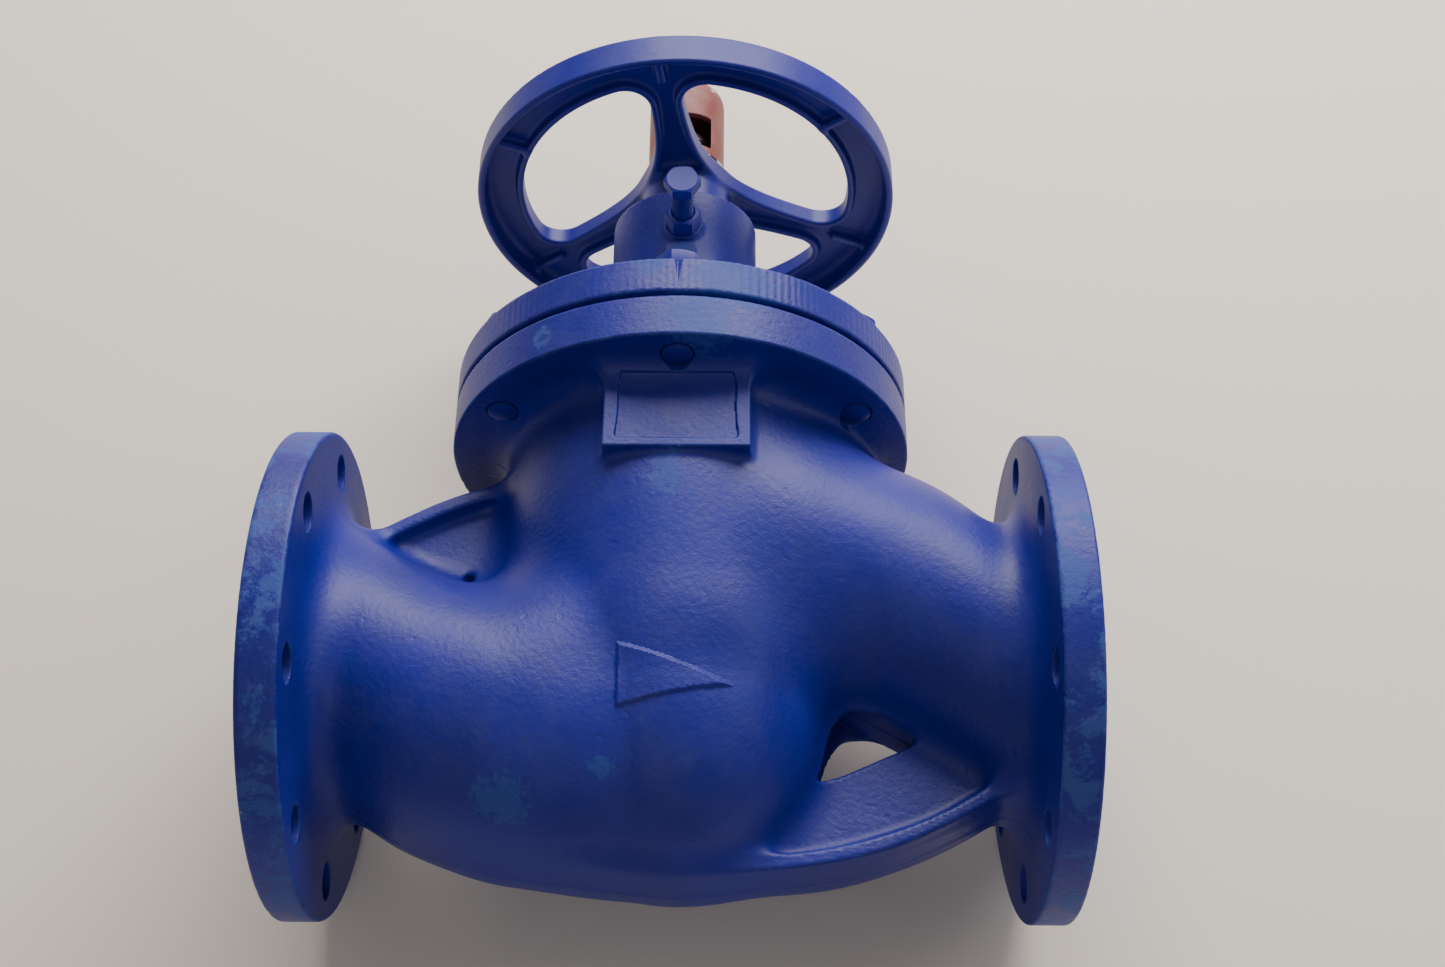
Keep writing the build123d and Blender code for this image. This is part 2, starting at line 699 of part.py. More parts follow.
# ---- handwheel ----
def wheel_key(grow=0.0):
    """Parallel key between the bush and the handwheel's hub."""
    height = key_in_bush + key_in_hub
    middle = bush_hub_r - key_in_bush + height / 2
    key = Box(key_width + 2 * grow, key_length + 2 * grow, height + 2 * grow)
    return Pos(stem_x, wheel_hub_low + key_start + key_length / 2, middle) * key


def wheel_window(grow=0.0):
    """Outline of one window of the handwheel, pointing along its own x, moved out by grow."""
    rim_side = Circle(wheel_window_r + grow)
    near_edge = wheel_hub_r + wheel_window_to_hub
    hub_side = Pos(near_edge + wheel_window_near_r, 0) * Circle(wheel_window_near_r + grow)
    shape = rim_side & hub_side
    return fillet(shape.vertices(), wheel_window_rounding + grow)


def window_turns():
    """Turns about the stem that point at each window's middle."""
    step = 360 / wheel_spoke_count
    return [Rot(0, 0, wheel_spoke_angle + (k + 0.5) * step) for k in range(wheel_spoke_count)]


def wheel_rim():
    inner = wheel_r - wheel_rim_wall
    lap = inner - wheel_rim_lap
    return turned(
        [
            (inner, wheel_rim_low), (wheel_r, wheel_rim_low), (wheel_r, wheel_top),
            (lap, wheel_top), (lap, wheel_plate_low), (inner, wheel_plate_low),
        ],
        wheel_rim_rounding,
    )


def wheel_gussets():
    """Short ribs that tie the windows' lips to the rim, at each spoke and each window."""
    reach = wheel_r - wheel_rim_wall + 1 - wheel_window_r
    rib = Pos(wheel_window_r + reach / 2, 0) * Rectangle(reach, wheel_gusset_width)
    low = across_stem(wheel_plate_low - wheel_gusset_depth)
    count = 2 * wheel_spoke_count
    turns = [Rot(0, 0, wheel_spoke_angle + 360 * k / count) for k in range(count)]
    return [extrude(low * turn * rib, amount=wheel_gusset_depth + 1) for turn in turns]


def handwheel():
    wheel = ring(0, wheel_hub_r, wheel_hub_low, wheel_top, edge_break) + wheel_rim()
    wheel += ring(0, wheel_r - wheel_rim_wall, wheel_plate_low, wheel_top)
    lip = wheel_window(wheel_lip_thickness)
    for turn in window_turns():
        wheel += extrude(across_stem(wheel_plate_low - wheel_lip_depth) * turn * lip, amount=wheel_lip_depth + 1)
    for gusset in wheel_gussets():
        wheel += gusset
    for turn in window_turns():
        opening = across_stem(wheel_rim_low - 1) * turn * wheel_window()
        wheel -= extrude(opening, amount=wheel_top - wheel_rim_low + 2)
    wheel -= rod(bush_hub_r + seat_clearance, wheel_hub_low - 1, wheel_top + 1)
    keyway_length = wheel_top - wheel_hub_low
    keyway_reach = bush_hub_r + key_in_hub + seat_clearance
    keyway = Box(key_width + 2 * seat_clearance, keyway_length + 2, keyway_reach)
    return wheel - Pos(stem_x, wheel_hub_low + keyway_length / 2, keyway_reach / 2) * keyway


def tab_washer():
    return ring(bush_hub_r + seat_clearance, wheel_nut_r, wheel_top, wheel_nut_low)


def wheel_nut():
    nut = ring(bush_hub_r + seat_clearance, wheel_nut_r, wheel_nut_low, cap_low, edge_break / 2)
    for k in range(wheel_nut_slots):
        turn = Pos(stem_x, (wheel_nut_low + cap_low) / 2, 0) * Rot(0, 45 + 360 * k / wheel_nut_slots, 0)
        nut -= turn * Pos(wheel_nut_r, 0, 0) * Box(2 * nut_slot_depth, 2 * wheel_nut_height, nut_slot_width)
    return nut


def indicator_cap():
    """Plastic hood that is pushed onto the bush's end and shows how far the stem has risen."""
    block = rod(cap_r, cap_low, cap_top)
    shell = fillet(block.edges().filter_by(GeomType.CIRCLE).sort_by(Axis.Y)[-1], cap_rounding)
    hollow = rod(cap_inner_r, bush_end, cap_top - cap_wall)
    hollow = fillet(hollow.edges().filter_by(GeomType.CIRCLE).sort_by(Axis.Y)[-1], cap_rounding - cap_wall)
    shell -= hollow
    shell -= rod(bush_hub_r + seat_clearance, cap_low - 1, bush_end + 1)
    slot_middle = (cap_slot_low + cap_slot_high) / 2
    return shell - Pos(stem_x, slot_middle, cap_r) * Box(
        2 * cap_slot_half_width, cap_slot_high - cap_slot_low, 2 * cap_r
    )


# ---- locking screw ----
def locking_screw():
    thread_low = lock_tip_low + lock_tip_length
    tip = extrude(across_lock(lock_tip_low) * Circle(lock_tip_r), amount=lock_tip_length)
    thread = extrude(across_lock(thread_low) * Circle(lock_screw_r), amount=lock_head_underside - thread_low)
    head = hexagon_on(across_lock(lock_head_underside), lock_across_flats, lock_head_height)
    return tip + thread + head


def lock_nut():
    nut = hexagon_on(across_lock(lock_boss_face), lock_across_flats, lock_nut_height)
    hole = extrude(across_lock(lock_boss_face) * Circle(lock_screw_r + running_clearance), amount=lock_nut_height)
    return nut - hole


def write(name, pieces):
    """One STEP file for each node, with each of its pieces as a solid of its own."""
    solids = []
    for piece in pieces if isinstance(pieces, list) else [pieces]:
        solids += piece.solids()
    export_step(Compound(children=solids), f"parts/{name}.step")
    print(name, len(solids))


os.makedirs("parts", exist_ok=True)
nodes = {
    "body_casting": body_casting,
    "seat_ring": seat_ring,
    "disc": disc,
    "disc_nut": disc_nut,
    "stem": stem,
    "bellows_carrier": bellows_carrier,
    "bellows": bellows,
    "bellows_ring": bellows_ring,
    "body_gasket": body_gasket,
    "bonnet_gasket": bonnet_gasket,
    "bonnet": bonnet,
    "bonnet_bolts": bonnet_bolts,
    "back_seat_bush": back_seat_bush,
    "packing_rings": packing_rings,
    "gland_follower": gland_follower,
    "gland_screw": gland_screw,
    "guide_plate_halves": guide_plate_halves,
    "stem_bush": stem_bush,
    "bearing_nut": bearing_nut,
    "wheel_key": wheel_key,
    "handwheel": handwheel,
    "tab_washer": tab_washer,
    "wheel_nut": wheel_nut,
    "indicator_cap": indicator_cap,
    "locking_screw": locking_screw,
    "lock_nut": lock_nut,
}
for name, make in nodes.items():
    write(name, make())
for place, low in (("lower", guide_plate_top), ("upper", bush_collar_top)):
    near, cage, rollers, far = bearing_pieces(low)
    write(f"{place}_bearing_near_washer", near)
    write(f"{place}_bearing_cage", cage)
    write(f"{place}_bearing_rollers", rollers)
    write(f"{place}_bearing_far_washer", far)
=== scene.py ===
import math
import time

import bmesh
import bpy
import numpy as np
import openvdb
from mathutils import Matrix, Vector


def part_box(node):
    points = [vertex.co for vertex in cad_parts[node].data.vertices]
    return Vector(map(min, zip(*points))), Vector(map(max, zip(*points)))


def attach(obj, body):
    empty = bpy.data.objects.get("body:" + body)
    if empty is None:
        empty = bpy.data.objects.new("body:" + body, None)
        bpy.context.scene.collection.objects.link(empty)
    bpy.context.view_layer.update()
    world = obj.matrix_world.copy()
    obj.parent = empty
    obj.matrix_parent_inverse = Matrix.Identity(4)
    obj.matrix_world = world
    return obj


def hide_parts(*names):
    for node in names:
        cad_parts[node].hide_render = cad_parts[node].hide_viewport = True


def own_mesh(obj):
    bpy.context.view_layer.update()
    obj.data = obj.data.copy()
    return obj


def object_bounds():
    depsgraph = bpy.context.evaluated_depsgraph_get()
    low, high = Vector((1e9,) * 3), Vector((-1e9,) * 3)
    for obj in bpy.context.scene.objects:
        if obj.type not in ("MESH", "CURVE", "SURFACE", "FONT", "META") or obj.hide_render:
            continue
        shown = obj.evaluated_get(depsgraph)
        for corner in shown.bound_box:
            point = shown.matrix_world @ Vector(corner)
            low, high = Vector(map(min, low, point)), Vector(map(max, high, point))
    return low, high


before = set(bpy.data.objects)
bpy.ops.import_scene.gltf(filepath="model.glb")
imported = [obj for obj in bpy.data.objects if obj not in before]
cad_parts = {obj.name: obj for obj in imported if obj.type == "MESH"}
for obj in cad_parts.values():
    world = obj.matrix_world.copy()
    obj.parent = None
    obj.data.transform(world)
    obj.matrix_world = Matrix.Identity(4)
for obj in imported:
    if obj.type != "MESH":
        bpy.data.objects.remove(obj)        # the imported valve: bodies, nodes, joints and record
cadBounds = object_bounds()
startTime = time.time()
mm = 0.001
# Fields below are in millimetres from the stem's axis: x along the pipe, y up the stem, z up.
stemX = (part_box("body_casting")[0].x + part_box("body_casting")[1].x) / 2 / mm


def say(stage):
    print(f"[{time.time() - startTime:5.1f} s] {stage}")


def span(node, axis):  # lowest and highest of a node along one axis, in millimetres
    low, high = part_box(node)
    return low[axis] / mm, high[axis] / mm


def radiusOf(node, axis=0):
    low, high = span(node, axis)
    return (high - low) / 2


# Camera, light and floor
cameraSet = dict(place=(0.22314, -0.40941, 0.8692), tiltDown=58.84, roll=0.29, lens=46.02, sensor=36.0)
floorSet = dict(size=6.0, colour=(0.90, 0.83, 0.75, 1), roughness=0.85)
lights = [
    dict(name="keySoftbox", place=(0.50, 1.45, 1.20), aim=(0.20, 0.05, 0.0), size=(1.7, 1.2), power=62.0,
         colour=(1.0, 0.955, 0.90)),
    dict(name="frontSoftbox", place=(0.05, -0.95, 1.25), aim=(0.20, 0.02, 0.0), size=(0.8, 0.8), power=1.6,
         colour=(1.0, 0.965, 0.93)),
    dict(name="sideSoftbox", place=(1.45, 0.15, 0.95), aim=(0.22, 0.05, 0.0), size=(0.7, 0.9), power=2.6,
         colour=(0.93, 0.96, 1.0)),
]


def addCamera():
    data = bpy.data.cameras.new("camera")
    data.lens, data.sensor_width = cameraSet["lens"], cameraSet["sensor"]
    data.clip_start, data.clip_end = 0.01, 50
    camera = bpy.data.objects.new("camera", data)
    bpy.context.scene.collection.objects.link(camera)
    tilt = math.radians(90 - cameraSet["tiltDown"])
    turn = Matrix.Rotation(tilt, 4, "X") @ Matrix.Rotation(math.radians(cameraSet["roll"]), 4, "Z")
    camera.matrix_world = Matrix.Translation(cameraSet["place"]) @ turn
    bpy.context.scene.camera = camera


def addLights():
    for s in lights:
        data = bpy.data.lights.new(s["name"], "AREA")
        data.shape, data.size, data.size_y = "RECTANGLE", s["size"][0], s["size"][1]
        data.energy, data.color = s["power"], s["colour"]
        lamp = bpy.data.objects.new(s["name"], data)
        lamp.location = s["place"]
        lamp.rotation_euler = (Vector(s["aim"]) - Vector(s["place"])).to_track_quat("-Z", "Y").to_euler()
        bpy.context.scene.collection.objects.link(lamp)
    world = bpy.data.worlds.new("studioWorld")
    world.use_nodes = True
    world.node_tree.nodes["Background"].inputs["Color"].default_value = (1.0, 0.965, 0.94, 1)
    world.node_tree.nodes["Background"].inputs["Strength"].default_value = 0.24
    bpy.context.scene.world = world


def addFloor():
    half = floorSet["size"] / 2
    low = cadBounds[0][2]
    mesh = bpy.data.meshes.new("studioFloor")
    corners = [(-half, -half, low), (half, -half, low), (half, half, low), (-half, half, low)]
    mesh.from_pydata(corners, [], [(0, 1, 2, 3)])
    floor = bpy.data.objects.new("studioFloor", mesh)
    bpy.context.scene.collection.objects.link(floor)
    paper = bpy.data.materials.new("floorPaper")
    paper.use_nodes = True
    shader = paper.node_tree.nodes["Principled BSDF"]
    shader.inputs["Base Color"].default_value = floorSet["colour"]
    shader.inputs["Roughness"].default_value = floorSet["roughness"]
    shader.inputs["Specular IOR Level"].default_value = 0.2
    mesh.materials.append(paper)


# Shared shape tools
def blendUnion(a, b, reach):  # joins two fields with a fillet about as wide as reach
    close = np.maximum(reach - np.abs(a - b), 0) / reach
    return np.minimum(a, b) - close * close * reach / 4


def blendCut(a, b, reach):  # takes field b out of field a with a rounded edge
    return -blendUnion(-a, b, reach)


def faded(share):  # rises smoothly from nearly 0 to 1
    share = np.clip(share, 0, 1)
    return 0.03 + 0.97 * share * share * (3 - 2 * share)


def cut(a, b):
    return np.maximum(a, -b)


def rounded(across, along, edge):  # joins two half-space distances with a rounded corner
    a, b = across + edge, along + edge
    return np.minimum(np.maximum(a, b), 0) + np.hypot(np.maximum(a, 0), np.maximum(b, 0)) - edge


def puck(radial, along, radius, low, high, edge=1.0):
    return rounded(radial - radius, np.abs(along - (low + high) / 2) - (high - low) / 2, edge)


def block(x, y, z, low, high, edge=1.0):
    sides = [np.abs(v - (a + b) / 2) - (b - a) / 2 for v, a, b in zip((x, y, z), low, high)]
    return rounded(rounded(sides[0], sides[1], edge), sides[2], edge)


def egg(x, y, z, centre, radii):
    scaled = [(v - c) / r for v, c, r in zip((x, y, z), centre, radii)]
    size = np.sqrt(sum(s * s for s in scaled)) + 1e-6
    slope = np.sqrt(sum((s / r) ** 2 for s, r in zip(scaled, radii))) + 1e-9
    return size * (size - 1) / slope


def curveThrough(xs, ys):  # natural cubic spline through a few points
    xs, ys = np.array(xs, float), np.array(ys, float)
    step, n = np.diff(xs), len(xs)
    rows, right = np.eye(n), np.zeros(n)
    for i in range(1, n - 1):
        rows[i, i - 1:i + 2] = step[i - 1], 2 * (step[i - 1] + step[i]), step[i]
        right[i] = 6 * ((ys[i + 1] - ys[i]) / step[i] - (ys[i] - ys[i - 1]) / step[i - 1])
    bend = np.linalg.solve(rows, right)

    def value(x):
        x = np.clip(x, xs[0], xs[-1])
        i = np.clip(np.searchsorted(xs, x) - 1, 0, n - 2)
        a, b, h = (xs[i + 1] - x), (x - xs[i]), step[i]
        ends = (ys[i] / h - bend[i] * h / 6) * a + (ys[i + 1] / h - bend[i + 1] * h / 6) * b
        return (bend[i] * a ** 3 + bend[i + 1] * b ** 3) / (6 * h) + ends

    return value


def duct(x, y, z, stations):  # elliptic duct along x: stations are (x, lowest, highest, half width)
    xs, lows, highs, halves = zip(*stations)
    low, high, half = (curveThrough(xs, v)(x) for v in (lows, highs, halves))
    up = (y - (low + high) / 2) * 2 / (high - low)
    out = z / half
    size = np.sqrt(up * up + out * out) + 1e-6
    slope = np.sqrt((up * 2 / (high - low)) ** 2 + (out / half) ** 2) + 1e-9
    return size * (size - 1) / slope


def insideCorners(x, y, corners, rounding):  # distance to a convex outline, corners counter-clockwise
    found = None
    for (ax, ay), (bx, by) in zip(corners, corners[1:] + corners[:1]):
        length = math.hypot(bx - ax, by - ay)
        side = ((by - ay) * (x - ax) - (bx - ax) * (y - ay)) / length
        found = side if found is None else -blendUnion(-found, -side, rounding)
    return found


def unevenness(x, y, z, amount):  # slow waviness of a sand casting
    waves = np.sin(x / 17 + y / 29) * np.sin(z / 21 - y / 33 + 1.3) + 0.6 * np.sin(x / 9.1 - z / 11.3 + 0.7)
    return amount * waves


def skinOf(name, field, low, high, step, fine=None):
    # meshes the surface where the field is zero, then moves each point exactly onto it
    axes = [np.arange(a, b + step, step, dtype=np.float32) for a, b in zip(low, high)]
    grid = [axes[0][:, None, None], axes[1][None, :, None], axes[2][None, None, :]]
    values = np.broadcast_to(field(*grid), [len(a) for a in axes])
    volume = openvdb.FloatGrid(background=3 * step)
    volume.copyFromArray(np.ascontiguousarray(np.clip(values, -3 * step, 3 * step), dtype=np.float32))
    points, quads = volume.convertToQuads(isovalue=0.0)
    points = points.astype(float) * step + np.array(low)
    mesh = bpy.data.meshes.new(name)
    mesh.from_pydata(points, [], quads.tolist())
    if fine is not None:
        refine(mesh, fine)
    points = np.zeros(len(mesh.vertices) * 3)
    mesh.vertices.foreach_get("co", points)
    points = points.reshape(-1, 3)
    for _ in range(4):
        value, slope = valueAndSlope(field, points, 0.05)
        points -= slope * (value / np.maximum((slope ** 2).sum(1), 0.2))[:, None] * 0.9
    value, slope = valueAndSlope(field, points, 0.05)
    edge = edgeness(field, points, value, step)
    points[:, 0] += stemX
    mesh.vertices.foreach_set("co", (points * mm).ravel())
    mesh.update()
    normals = slope / np.maximum(np.linalg.norm(slope, axis=1), 1e-6)[:, None]
    mesh.shade_smooth()
    mesh.normals_split_custom_set_from_vertices(normals.tolist())
    worn = mesh.attributes.new("edgeMask", "FLOAT", "POINT")
    worn.data.foreach_set("value", edge.astype(np.float32))
    return placed(name, mesh)


def refine(mesh, fine):  # splits the faces that a fine detail crosses
    work = bmesh.new()
    work.from_mesh(mesh)
    points = np.array([v.co for v in work.verts])
    keep = fine(points[:, 0], points[:, 1], points[:, 2])
    work.verts.ensure_lookup_table()
    edges = [e for e in work.edges if keep[e.verts[0].index] and keep[e.verts[1].index]]
    bmesh.ops.subdivide_edges(work, edges=edges, cuts=1, use_grid_fill=True)
    work.to_mesh(mesh)
    work.free()


def valueAndSlope(field, points, reach):
    x, y, z = points.T
    slope = np.stack([
        field(x + reach, y, z) - field(x - reach, y, z),
        field(x, y + reach, z) - field(x, y - reach, z),
        field(x, y, z + reach) - field(x, y, z - reach),
    ], axis=1) / (2 * reach)
    return field(x, y, z), slope


def edgeness(field, points, value, step):  # 1 on outside edges, 0 on flats and hollows
    x, y, z = points.T
    reach = 1.2 * step
    around = sum(field(x + a, y + b, z + c) for a, b, c in
                 ((reach, 0, 0), (-reach, 0, 0), (0, reach, 0), (0, -reach, 0), (0, 0, reach), (0, 0, -reach)))
    return np.clip((around - 6 * value) / reach / 1.1, 0, 1)


def placed(name, mesh):
    piece = bpy.data.objects.new(name, mesh)
    bpy.context.scene.collection.objects.link(piece)
    return piece


def spun(name, rings, segments, centre, turn=None):
    # closes rings of points round an axis; a ring is (height, radius) or (heights, radii) for each segment
    angles = np.arange(segments) * 2 * math.pi / segments
    rows = []
    for height, radius in rings:
        radius, height = np.broadcast_to(radius, segments), np.broadcast_to(height, segments)
        rows.append(np.stack([radius * np.sin(angles), height, radius * np.cos(angles)], axis=1))
    points = np.concatenate(rows)
    count = len(rings)
    faces = []
    for k in range(count - 1):
        for s in range(segments):
            t = (s + 1) % segments
            a, b = k * segments, (k + 1) * segments
            faces.append((a + s, a + t, b + t, b + s))
    faces.append(tuple(range(segments))[::-1])
    faces.append(tuple((count - 1) * segments + s for s in range(segments)))
    mesh = bpy.data.meshes.new(name)
    if turn is not None:
        points = points @ np.array(turn.to_3x3()).T
    mesh.from_pydata(((points + np.array(centre)) * mm).tolist(), [], faces)
    mesh.shade_smooth()
    mesh.set_sharp_from_angle(angle=math.radians(32))
    return placed(name, mesh)


def hexRadius(acrossFlats, segments, turn=0.0):
    angles = np.degrees(np.arange(segments) * 2 * math.pi / segments) - turn
    return acrossFlats / 2 / np.cos(np.radians((angles + 30) % 60 - 30))


def hexRings(acrossFlats, low, high, segments, turn=0.0, washer=0.5):
    # a hexagon with a washer face below and a 30 degree chamfer on top
    corner = hexRadius(acrossFlats, segments, turn)
    flat = 0.47 * acrossFlats
    drop = (corner - flat) * math.tan(math.radians(30))
    return [(low, 0.9 * flat), (low, 0.98 * flat), (low + washer, flat), (low + washer, corner * 0.985),
            (low + washer + 0.3, corner), (high - drop - 0.1, corner), (high, flat), (high, flat * 0.5)]


def threadRings(radius, pitch, depth, low, high, segments, rowsPerTurn=8, crest=0.35):
    # a helical thread that fades in and out at its ends
    angles = np.arange(segments) / segments
    heights = np.arange(low, high, pitch / rowsPerTurn)
    rings = []
    for h in heights:
        phase = (h / pitch - angles) % 1.0
        wave = np.clip((np.abs(phase - 0.5) * 2 - crest) / (1 - 2 * crest), 0, 1)
        fade = min(1, (h - low) / pitch, (heights[-1] - h) / (0.5 * pitch))
        rings.append((h, radius - depth * (1 - wave) * max(fade, 0)))
    return rings


# Body casting
body = dict(
    portRadius=span("body_casting", 2)[1], portThickness=22.7, faceRadius=94, faceRise=3, reach=stemX,
    flangeFillet=24, topFillet=16, topRadius=125, topLow=127.6, topHigh=span("body_casting", 1)[1],
    bowl=((0, -30, 0), (77, 85, 80)), joinFillet=34,
    inlet=[(-180, -73, 72.5, 72.5), (-165, -75, 70, 73), (-140, -89, 57, 74), (-115, -100, 45, 76),
           (-75, -110, 36, 77), (-35, -108, 32, 70), (5, -94, 12, 50), (35, -72, -12, 26)],
    outlet=[(-55, 30, 80, 30), (-20, 10, 105, 58), (20, -8, 117, 73), (60, -14, 120, 79), (91, -23, 119, 77.5),
            (120, -38, 109, 76),
            (148, -56, 92, 74), (166, -68, 78, 73), (180, -73, 72.5, 72.5)],
    inletWay=[(-175, -62.5, 62.5, 62.5), (-142, -77, 45, 63), (-112, -89, 27, 64), (-80, -98, 4, 66),
              (-30, -102, -10, 66)],
    outletWay=[(30, 14, 108, 66), (85, -5, 109, 66), (118, -31, 99, 66), (148, -46, 81, 64),
               (175, -62.5, 62.5, 62.5)],
    chamber=((0, -30, 0), (67, 75, 70)), plate=(-8, 12), boreRadius=62.5, neckBore=80,
    boltCircle=105, boltHole=9.5, bonnetBoltCircle=107.5,
    arrow=[(-26.5, -51), (27.6, -40), (-26.5, -20)], arrowRise=1.5,
    grid=1.7, quickGrid=2.6,
)
keel = dict(
    xs=(0, 55, 111, 150, 181), ys=(-114.8, -112.6, -100.2, -81.5, -62), halfWidth=21, thickness=8,
    draft=math.tan(math.radians(5)), start=-80, webHalf=12, join=15, sink=9.0,
    window=[(80, -14.5), (67.5, -66), (122.5, -41)], upperWindow=[(88, -30), (107, -57), (131, -40)],
    windowRounding=6, ridge=0.7, ridgeHalf=1.3,
)
pad = dict(half=37, low=80, face=96.5, panelHalf=29.6, bow=2.6, panelLow=84.5, panelHigh=125, depth=1.3)


def webPart(x, y, z):  # one web with its keel bar and window, on the outlet's underside
    line = curveThrough(keel["xs"], keel["ys"])
    side = np.abs(x)
    slope = (line(side + 0.5) - line(side - 0.5)) / 1.0
    sunk = keel["sink"] * np.clip((5 - x) / 60, 0, 1.5) ** 2
    above = (y - line(side) - sunk) / np.sqrt(1 + slope * slope)
    bar = np.abs(above - np.abs(z) * keel["draft"] - keel["thickness"] / 2) - keel["thickness"] / 2
    bar = rounded(bar, np.abs(z) - keel["halfWidth"], 2.2)
    bar = np.maximum(np.maximum(bar, keel["start"] - x), x - 178)
    plate = rounded(np.abs(z) - keel["webHalf"], 2 - above, 1.0)
    plate = np.maximum(np.maximum(plate, 10 - x), np.maximum(x - 178, y))
    return blendUnion(bar, plate, 7)


def windowPart(x, y, z, corners):
    return np.maximum(insideCorners(x, y, corners, keel["windowRounding"]), np.abs(z) - 60)


def padPart(x, y, z):
    middle = (pad["low"] + body["topLow"]) / 2
    shape = block(x, y, z, (-pad["half"], pad["low"], 0), (pad["half"], body["topLow"] + 4, pad["face"]), 1.0)
    bowed = pad["panelHalf"] + pad["bow"] * ((y - middle) / (middle - pad["low"])) ** 2
    panel = rounded(np.abs(x) - bowed, np.abs(y - (pad["panelLow"] + pad["panelHigh"]) / 2)
                    - (pad["panelHigh"] - pad["panelLow"]) / 2, 3.0)
    return blendCut(shape, np.maximum(panel, pad["face"] - pad["depth"] - z), 0.9)


def portFlange(side, y, z, shell):  # side is the distance from the raised face, inwards
    radial = np.hypot(y, z)
    rim = puck(radial, side, body["portRadius"], body["faceRise"], body["portThickness"], 1.6)
    shell = blendUnion(shell, rim, body["flangeFillet"])
    return np.minimum(shell, puck(radial, side, body["faceRadius"], 0, body["portThickness"] - 1, 0.8))


def boltCircle(across, out, radius, hole, count, start):
    # distance to the nearest of a ring of holes
    step = 2 * math.pi / count
    angle = np.arctan2(out, across) - start
    angle = angle - np.round(angle / step) * step
    radial = np.hypot(across, out)
    return np.hypot(radial * np.cos(angle) - radius, radial * np.sin(angle)) - hole


def bodyOutside(x, y, z):
    radial = np.hypot(x, z)
    neck = curveThrough((-60, -40, -18, 20, 60, 90, 140), (36, 57, 77, 87.5, 91.5, 92.5, 92.5))(y)
    neck = np.maximum(np.maximum(radial - neck, -60 - y), y - 132)
    shell = blendUnion(egg(x, y, z, *body["bowl"]), neck, 20)
    inlet = np.maximum(duct(x, y, z, body["inlet"]), np.maximum(x - 35, -180 - x))
    outlet = np.maximum(duct(x, y, z, body["outlet"]), np.maximum(-55 - x, x - 180))
    shell = blendUnion(shell, inlet, body["joinFillet"] * faded((15 - x) / 90))
    shell = blendUnion(shell, outlet, body["joinFillet"] * faded((x + 15) / 90))
    for way, window in ((1, keel["window"]), (-1, keel["upperWindow"])):
        web = blendCut(webPart(way * x, way * y, z), windowPart(way * x, way * y, z, window), 2.2)
        shell = blendUnion(shell, web, keel["join"])
    shell = blendCut(shell, np.maximum(windowPart(x, y, z, keel["window"]), np.abs(z) - 17), 2.2)
    shell = shell - keel["ridge"] * np.exp(-(z / keel["ridgeHalf"]) ** 2)
    shell = shell + unevenness(x, y, z, 0.28)
    shell = blendUnion(shell, padPart(x, y, z), 5)
    arrow = insideCorners(x, y, body["arrow"], 1.0)
    shell = shell - body["arrowRise"] * np.clip(0.5 - arrow / 1.8, 0, 1) * (z > 20)
    shell = blendUnion(shell, puck(radial, y, body["topRadius"], body["topLow"], body["topHigh"], 1.4),
                       body["topFillet"])
    shell = portFlange(x + body["reach"], y, z, shell)
    return portFlange(body["reach"] - x, y, z, shell)


def bodyWays(x, y, z):
    inlet = np.maximum(duct(x, y, z, body["inletWay"]), np.maximum(x + 25, -x - body["reach"] - 9))
    outlet = np.maximum(duct(x, y, z, body["outletWay"]), np.maximum(25 - x, x - body["reach"] - 9))
    radial = np.hypot(x, z)
    lower = rounded(egg(x, y, z, *body["chamber"]), y - body["plate"][0], 3)
    upper = rounded(radial - body["neckBore"], body["plate"][1] - y, 3)
    ways = blendUnion(blendUnion(inlet, lower, 10), blendUnion(outlet, upper, 10), 0.5)
    return ways


def bodyField(x, y, z):
    radial = np.hypot(x, z)
    shell = blendCut(bodyOutside(x, y, z), bodyWays(x, y, z), 1.5)
    seat, gasket = radiusOf("seat_ring") + 0.2, radiusOf("body_gasket") + 0.2
    shell = cut(shell, np.maximum(radial - body["boreRadius"], np.abs(y - 2) - 14))
    shell = cut(shell, np.maximum(radial - seat, np.maximum(span("seat_ring", 1)[0] - y, y - 20)))
    shell = cut(shell, np.maximum(radial - gasket, span("body_gasket", 1)[0] - y))
    bolts = boltCircle(x, z, body["bonnetBoltCircle"], 8.35, 6, math.pi / 2)
    shell = cut(shell, np.maximum(bolts, body["topLow"] - 6 - y))
    ports = boltCircle(y, z, body["boltCircle"], body["boltHole"], 8, math.pi / 8)
    return cut(shell, np.maximum(ports, body["reach"] - body["portThickness"] - 3 - np.abs(x)))


def bodyDetail(x, y, z):  # where the casting has detail finer than the grid
    arrow = np.abs(insideCorners(x, y, body["arrow"], 1.0)) < 3.5
    arrow &= z > 40
    ridge = (np.abs(z) < 4) & (y < 125)
    panel = (np.abs(x) < 41) & (y > 77) & (y < 128) & (z > 90)
    holes = np.abs(boltCircle(y, z, body["boltCircle"], body["boltHole"], 8, math.pi / 8)) < 2.5
    holes &= np.abs(x) > 170
    return arrow | ridge | panel | holes


def makeBody():
    step = body["grid"]
    reach, top = body["reach"] + 3 * step, body["topHigh"] + 3 * step
    piece = skinOf("valve_body", bodyField, (-reach, -body["portRadius"] - 3 * step, -body["portRadius"] - 3 * step),
                   (reach, top, body["portRadius"] + 3 * step), step, bodyDetail)
    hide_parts("body_casting")
    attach(piece, "valve")
    say("body casting")
    return piece


